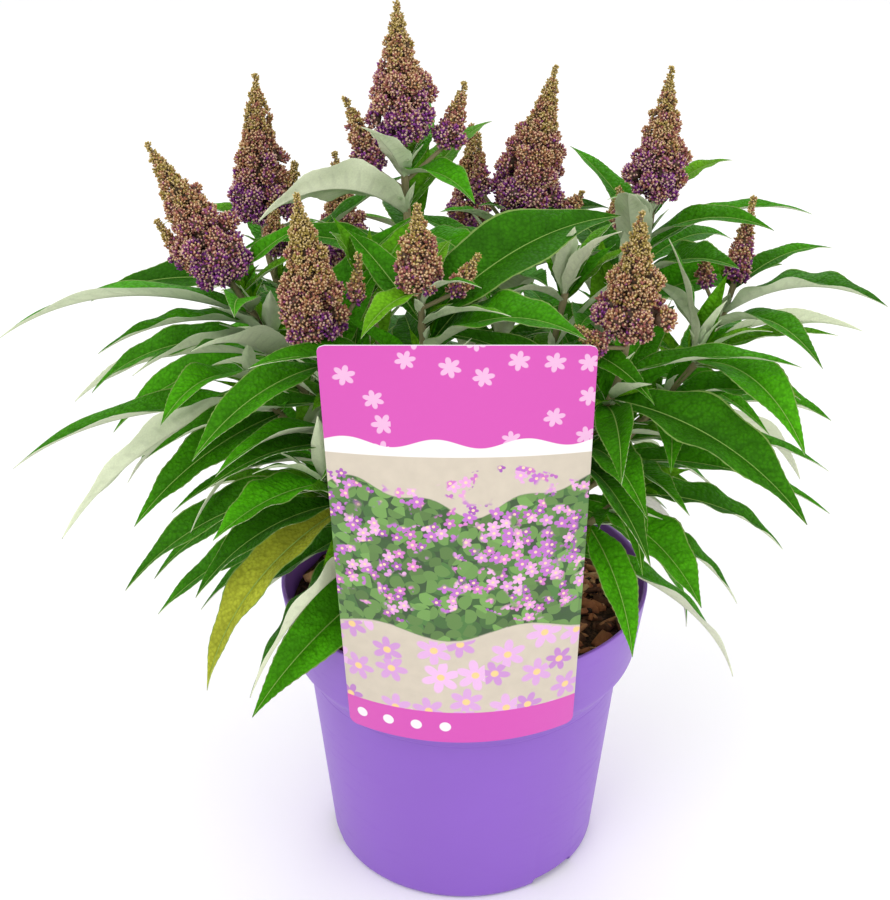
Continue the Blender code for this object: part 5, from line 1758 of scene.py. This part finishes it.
def bud_colours(downs, owners, ripeness, rng):
    """Which of the five bud colours each bud has: olive at the tip, then tan, rose and mauve, with violet
    patches low down on a ripe spike."""
    mood = ripeness + np.array([rng.gauss(0, 0.11) for _ in range(int(owners.max()) + 1)])
    scatter = np.array([rng.gauss(0, 0.15) for _ in range(len(downs))])
    level = downs + mood[owners] + scatter
    return np.digitize(level, (0.30, 0.55, 0.78, 0.93))


def frames_for(ways, rng):
    """For unit vectors, turning matrices whose third column is the vector, turned about it at random."""
    helper = np.where(np.abs(ways[:, 2:3]) < 0.9, np.array([[0.0, 0.0, 1.0]]), np.array([[1.0, 0.0, 0.0]]))
    first = np.cross(helper, ways)
    first /= np.linalg.norm(first, axis=1)[:, None]
    second = np.cross(ways, first)
    spin = np.array([rng.uniform(0, math.tau) for _ in range(len(ways))])[:, None]
    turned = first * np.cos(spin) + second * np.sin(spin)
    return np.stack([turned, np.cross(ways, turned), ways], axis=2)


def blossom_meshes(size, stretch):
    """The buds of every spike as a few meshes, and the dark hearts of their clusters as one, coloured as
    painted shade between the buds.
    """
    template, faces, tips = bud_template()
    places, ways, sizes, colours, hearts = [], [], [], [], []
    for mass in planned():
        for spike, _ in mass.spikes:
            rng = random.Random(SPIKE_SEED + len(places))
            spots, leans, widths, downs, owners, clusters = buds_of(spike, size, rng)
            places.append(spots)
            ways.append(leans)
            sizes.append(widths)
            ripeness = YOUNG_SPIKE if spike.base.y < YOUNG_SPIKES_BEFORE else 0.0
            colours.append(bud_colours(downs, owners, ripeness, rng))
            hearts += clusters
    # The last spike's generator goes on from here, for all the buds
    places, ways, sizes, colours = (np.concatenate(table) for table in (places, ways, sizes, colours))
    swell = np.array([rng.uniform(0.78, 1.18) for _ in range(len(sizes))])
    frames = frames_for(ways, rng)
    shaped = template[None, :, :] * (sizes * swell)[:, None, None] * np.array([1.0, 1.0, stretch])
    points = np.einsum("nij,nkj->nki", frames, shaped) + places[:, None, :]
    # Two buds in three get a pale tip: partly the tip's own paler colour, partly a painted highlight on the
    # end that faces out
    pale = colours + np.array([rng.choice((0, 5, 5)) for _ in range(len(sizes))])
    picks = np.where(tips[None, :], pale[:, None], colours[:, None])
    shares = PIECE_LIMIT // len(faces)
    meshes = []
    for first in range(0, len(places), shares):
        last = min(first + shares, len(places))
        count = last - first
        corners = faces[None, :, :] + np.arange(count)[:, None, None] * len(template)
        group = (corners.reshape(-1, 3), picks[first:last].ravel())
        meshes.append(mesh_from_arrays("blossom", points[first:last].reshape(-1, 3), [group]))
    return meshes, hearts_mesh(hearts)


def hearts_mesh(clusters):
    """A small body inside each cluster, where its pedicels meet, and a larger one inside each tier. Their
    dark colour is painted shade, for the shade seen between the buds.
    """
    work = bmesh.new()
    bmesh.ops.create_icosphere(work, subdivisions=1, radius=1.0)
    ball, faces = arrays_of(work)
    points = [ball * (radius * HEART_SHARE) + np.array(centre[:]) for centre, radius, _, _ in clusters]
    corners = [faces + i * len(ball) for i in range(len(clusters))]
    return mesh_from_arrays("cluster_hearts", np.concatenate(points), [(np.concatenate(corners), 0)])


def colour_prop(name, description, default):
    """A colour that the panel shows."""
    kind = {"subtype": "COLOR", "size": 3, "min": 0, "max": 1}
    return FloatVectorProperty(name=name, description=description, default=default, **kind)


def number_prop(name, description, default, **kind):
    """A number that the panel shows."""
    return FloatProperty(name=name, description=description, default=default, min=0, **kind)


def size_prop(name, description, default):
    """A size in metres that the panel shows."""
    return number_prop(name, description, default, subtype="DISTANCE", unit="LENGTH")


class BushPotSettings(bpy.types.PropertyGroup):
    """The pot."""

    colour: colour_prop("Plastic", "Colour of the moulded plastic", (0.242, 0.096, 0.520))
    lip_rounding: size_prop("Lip rounding", "How far the lip's edges are rounded", 0.0009)


class BushCompostSettings(bpy.types.PropertyGroup):
    """The compost and the bark chips on it."""

    # dark is the painted shade in the hollows of the compost
    dark: colour_prop("Dark compost", "Colour in the hollows", (0.016, 0.009, 0.006))
    light: colour_prop("Light compost", "Colour of the crumbs", (0.100, 0.050, 0.028))
    chips: IntProperty(name="Chips", description="How many bark chips lie on the bed", default=900, min=0)
    longest: size_prop("Longest chip", "Length of the longest chip", 0.0150)


class BushLabelSettings(bpy.types.PropertyGroup):
    """The card label."""

    band: colour_prop("Band", "Colour of the plain bands", (0.62, 0.070, 0.43))
    field: colour_prop("Ground", "Colour of the ground behind the flowers", (0.60, 0.53, 0.43))
    corner: size_prop("Corner", "Radius of the card's corners", 0.0035)


class BushWoodSettings(bpy.types.PropertyGroup):
    """The trunk, boughs and stems."""

    relief: size_prop("Bark relief", "Depth of the bark's furrows", 0.00045)
    felt: colour_prop("Stem felt", "Colour of the young stems", (0.305, 0.262, 0.141))


class BushLeafSettings(bpy.types.PropertyGroup):
    """The leaves."""

    upper: colour_prop("Upper side", "Colour of a grown leaf", (0.046, 0.238, 0.0020))
    young: colour_prop("Young leaf", "Colour of a young leaf", (0.135, 0.380, 0.008))
    vein: colour_prop("Veins", "Colour of the midrib", (0.27, 0.43, 0.10))
    underside: colour_prop("Underside", "Colour of the felted underside", (0.76, 0.82, 0.58))


class BushBlossomSettings(bpy.types.PropertyGroup):
    """The flower spikes."""

    bud: size_prop("Bud width", "Width of a bud at the foot of a spike", 0.00132)
    stretch: number_prop("Bud stretch", "Length of a bud over its width", 1.55)
    olive: colour_prop("Tip buds", "Colour of the buds at a spike's tip", (0.360, 0.265, 0.060))
    tan: colour_prop("Upper buds", "Colour of the buds under the tip", (0.380, 0.180, 0.080))
    rose: colour_prop("Middle buds", "Colour of the buds in the middle", (0.330, 0.110, 0.095))
    mauve: colour_prop("Lower buds", "Colour of the buds low down", (0.330, 0.090, 0.210))
    violet: colour_prop("Open buds", "Colour of the buds about to open", (0.230, 0.040, 0.260))
    # tips: the pale tip colour, partly the buds' own and partly a painted highlight
    tips: colour_prop("Bud tips", "Colour that the tips of the buds turn towards", (0.88, 0.67, 0.38))


class BushStageSettings(bpy.types.PropertyGroup):
    """Floor, light and camera."""

    floor: colour_prop("Floor", "Colour of the floor", (0.955, 0.955, 0.955))
    sky: number_prop("Sky", "Strength of the even light from all round", 1.0)
    key: number_prop("Key light", "Power of the large soft light", 11.0, subtype="POWER")


class OBJECT_OT_bush_pot(bpy.types.Operator):
    """Makes the growers' pot"""

    bl_idname = "object.bush_pot"
    bl_label = "Pot"

    def execute(self, context):
        settings = context.scene.bush_pot
        plastic = pot_finish(tuple(settings.colour))
        piece("plant_pot", pot_mesh(settings.lip_rounding), [plastic], "pot_plastic", "pot")
        return {"FINISHED"}


class OBJECT_OT_bush_compost(bpy.types.Operator):
    """Makes the compost and the bark chips on it"""

    bl_idname = "object.bush_compost"
    bl_label = "Compost"

    def execute(self, context):
        settings = context.scene.bush_compost
        bed = compost_finish("compost", tuple(settings.dark), tuple(settings.light))
        piece("compost_bed", compost_bed(), [bed], "compost", "soil")
        tints = [
            chip_finish("chip_dark", (0.110, 0.046, 0.024)),
            chip_finish("chip_red", (0.340, 0.130, 0.055)),
            chip_finish("chip_brown", (0.430, 0.200, 0.090)),
            chip_finish("chip_tan", (0.620, 0.360, 0.185)),
            chip_finish("chip_black", (0.025, 0.014, 0.010)),
        ]
        piece("bark_chips", chips_mesh(settings.chips, settings.longest, len(tints)), tints, "compost")
        return {"FINISHED"}


class OBJECT_OT_bush_label(bpy.types.Operator):
    """Makes the card label that hangs on the pot's lip"""

    bl_idname = "object.bush_label"
    bl_label = "Card label"

    def execute(self, context):
        settings = context.scene.bush_label
        materials = [printed_finish(tuple(settings.band), tuple(settings.field)), plain_card_finish()]
        piece("card_label", card_mesh(settings.corner), materials, "label_card", "label")
        return {"FINISHED"}


class OBJECT_OT_bush_wood(bpy.types.Operator):
    """Makes the trunk, the boughs and the stems"""

    bl_idname = "object.bush_wood"
    bl_label = "Wood"

    def execute(self, context):
        settings = context.scene.bush_wood
        boughs = [shoot.name.replace("shoot", "bough") for shoot in SHOOTS if shoot.bare]
        piece("stool_and_boughs", wood_mesh(settings.relief), [bark_finish()], "bark", "trunk", *boughs)
        felt = felt_finish("stem_felt", tuple(settings.felt))
        piece("stems_and_stalks", stems_mesh(), [felt], "foliage", *mass_names())
        return {"FINISHED"}


class OBJECT_OT_bush_leaves(bpy.types.Operator):
    """Makes the leaves and the tufts of small ones in their axils"""

    bl_idname = "object.bush_leaves"
    bl_label = "Leaves"

    def execute(self, context):
        settings = context.scene.bush_leaves
        upper, young = tuple(settings.upper), tuple(settings.young)
        vein, under = tuple(settings.vein), tuple(settings.underside)
        materials = [
            blade_finish("leaf_deep", shade(upper, 0.70)),
            blade_finish("leaf_green", upper),
            blade_finish("leaf_bright", shade(upper, 1.32)),
            blade_finish("leaf_mid", tuple((a + b) / 2 for a, b in zip(upper, young))),
            blade_finish("leaf_young", young, 0.56),
            blade_finish("leaf_yellowed", (0.40, 0.44, 0.035), 0.56),
            felt_finish("leaf_midrib", vein),
            underside_finish("leaf_underside", under),
            underside_finish("leaf_underside_young", shade(under, 1.12)),
            felt_finish("leaf_margin", shade(vein, 0.72)),
        ]
        rng = random.Random(TINT_SEED)
        leaves = []
        for mass in planned():
            for leaf in mass.leaves:
                if (leaf_tip(leaf) - YELLOWED_LEAF_TIP).length < YELLOWED_WITHIN:
                    pick = 5
                elif leaf.length < SHORT_LEAF:
                    pick = rng.choices((2, 3, 4), (1, 2, 2))[0]
                elif leaf.length < MIDDLING_LEAF:
                    pick = rng.choices((0, 1, 2, 3), (1, 3, 3, 1))[0]
                else:
                    pick = rng.choices((0, 1, 2), (3, 4, 2))[0]
                leaves.append((leaf, (pick, 6, 8 if pick in (3, 4) else 7, 9)))
        quads, _, triangles, _, _ = leaf_faces(FULL_LEAF)
        share = PIECE_LIMIT // (2 * len(quads) + len(triangles))
        for number, first in enumerate(range(0, len(leaves), share), 1):
            mesh = leaves_mesh(f"leaves_{number}", leaves[first : first + share], FULL_LEAF, number)
            piece(f"leaves_{number}", mesh, materials, "foliage", *mass_names())
        small = axil_leaves(random.Random(TUFT_SEED))
        tufts = [(leaf, (rng.choice((2, 3, 4, 4)), 6, 8, 9)) for leaf in small]
        mesh = leaves_mesh("axil_leaves", tufts, SMALL_LEAF, 3)
        piece("axil_leaves", mesh, materials, "foliage", *mass_names())
        return {"FINISHED"}


class OBJECT_OT_bush_blossom(bpy.types.Operator):
    """Makes the flower spikes out of their buds"""

    bl_idname = "object.bush_blossom"
    bl_label = "Flower spikes"

    def execute(self, context):
        settings = context.scene.bush_blossom
        names = ("olive", "tan", "rose", "mauve", "violet")
        colours = [tuple(getattr(settings, name)) for name in names]
        materials = [bud_finish(f"bud_{name}", colour) for name, colour in zip(names, colours)]
        for name, colour in zip(names, colours):
            # pale tips: the tip's own paler colour together with a painted highlight
            pale = tuple(0.42 * a + 0.58 * b for a, b in zip(colour, tuple(settings.tips)))
            materials.append(bud_finish(f"bud_{name}_tip", pale))
        meshes, hearts = blossom_meshes(settings.bud, settings.stretch)
        for number, mesh in enumerate(meshes, 1):
            piece(f"buds_{number}", mesh, materials, "foliage", *mass_names())
        # painted shade: the hearts are coloured like the shade between the buds
        dark = bud_finish("bud_heart", (0.150, 0.095, 0.060))
        piece("bud_hearts", hearts, [dark], "foliage", *mass_names())
        return {"FINISHED"}


class OBJECT_OT_bush_stage(bpy.types.Operator):
    """Sets up the floor, the soft light and the camera"""

    bl_idname = "object.bush_stage"
    bl_label = "Stage"

    def execute(self, context):
        settings = context.scene.bush_stage
        scene = context.scene
        work = bmesh.new()
        bmesh.ops.create_grid(work, x_segments=1, y_segments=1, size=6.0)
        bmesh.ops.translate(work, vec=(0, 0, -0.0005), verts=work.verts)
        mesh = mesh_from("floor", work)
        finish = Finish("floor_paper", 0.9, 0.1)
        finish.colour(tuple(settings.floor))
        mesh.materials.append(finish.material)
        floor = linked("floor", mesh)
        world = bpy.data.worlds.new("studio")
        world.use_nodes = True
        world.node_tree.nodes["Background"].inputs["Color"].default_value = (1.0, 1.0, 1.0, 1.0)
        world.node_tree.nodes["Background"].inputs["Strength"].default_value = settings.sky
        scene.world = world
        lamps = (
            ("key_light", (-0.9, -1.3, 1.7), settings.key, 1.1),
            ("fill_light", (1.4, -0.9, 0.9), settings.key * 0.45, 1.2),
            ("back_light", (0.3, 1.5, 1.5), settings.key * 0.55, 1.0),
        )
        for name, place, power, width in lamps:
            data = bpy.data.lights.new(name, "AREA")
            data.energy = power
            data.size = width
            lamp = linked(name, data)
            lamp.location = place
            lamp.rotation_euler = (LIGHT_TARGET - lamp.location).to_track_quat("-Z", "Y").to_euler()
        data = bpy.data.cameras.new("camera")
        data.lens = CAMERA_LENS
        data.sensor_width = 36.0
        data.clip_start = 0.01
        camera = linked("camera", data)
        camera.location = CAMERA_PLACE
        camera.rotation_euler = (CAMERA_TARGET - CAMERA_PLACE).to_track_quat("-Z", "Y").to_euler()
        scene.camera = camera
        scene.view_settings.view_transform = "Standard"
        return {"FINISHED"}


class VIEW3D_PT_bush(bpy.types.Panel):
    """Lists the bush's pieces in the sidebar"""

    bl_idname = "VIEW3D_PT_bush"
    bl_label = "Potted Butterfly Bush"
    bl_space_type = "VIEW_3D"
    bl_region_type = "UI"
    bl_category = "Bush"

    def draw(self, context):
        for operator in OPERATORS:
            self.layout.operator(operator.bl_idname)
        for name, group in GROUPS.items():
            box = self.layout.box()
            box.label(text=group.__doc__)
            for field in group.__annotations__:
                box.prop(getattr(context.scene, name), field)


GROUPS = {
    "bush_pot": BushPotSettings,
    "bush_compost": BushCompostSettings,
    "bush_label": BushLabelSettings,
    "bush_wood": BushWoodSettings,
    "bush_leaves": BushLeafSettings,
    "bush_blossom": BushBlossomSettings,
    "bush_stage": BushStageSettings,
}
OPERATORS = (
    OBJECT_OT_bush_pot,
    OBJECT_OT_bush_compost,
    OBJECT_OT_bush_label,
    OBJECT_OT_bush_wood,
    OBJECT_OT_bush_leaves,
    OBJECT_OT_bush_blossom,
    OBJECT_OT_bush_stage,
)


def register():
    for group in GROUPS.values():
        bpy.utils.register_class(group)
    for name, group in GROUPS.items():
        setattr(bpy.types.Scene, name, PointerProperty(type=group))
    for operator in OPERATORS:
        bpy.utils.register_class(operator)
    bpy.utils.register_class(VIEW3D_PT_bush)


def unregister():
    bpy.utils.unregister_class(VIEW3D_PT_bush)
    for operator in reversed(OPERATORS):
        bpy.utils.unregister_class(operator)
    for name, group in GROUPS.items():
        delattr(bpy.types.Scene, name)
        bpy.utils.unregister_class(group)


def main():
    register()
    bpy.ops.object.bush_pot()
    bpy.ops.object.bush_compost()
    bpy.ops.object.bush_label()
    bpy.ops.object.bush_wood()
    bpy.ops.object.bush_leaves()
    bpy.ops.object.bush_blossom()
    bpy.ops.object.bush_stage()


if __name__ == "__main__":
    main()
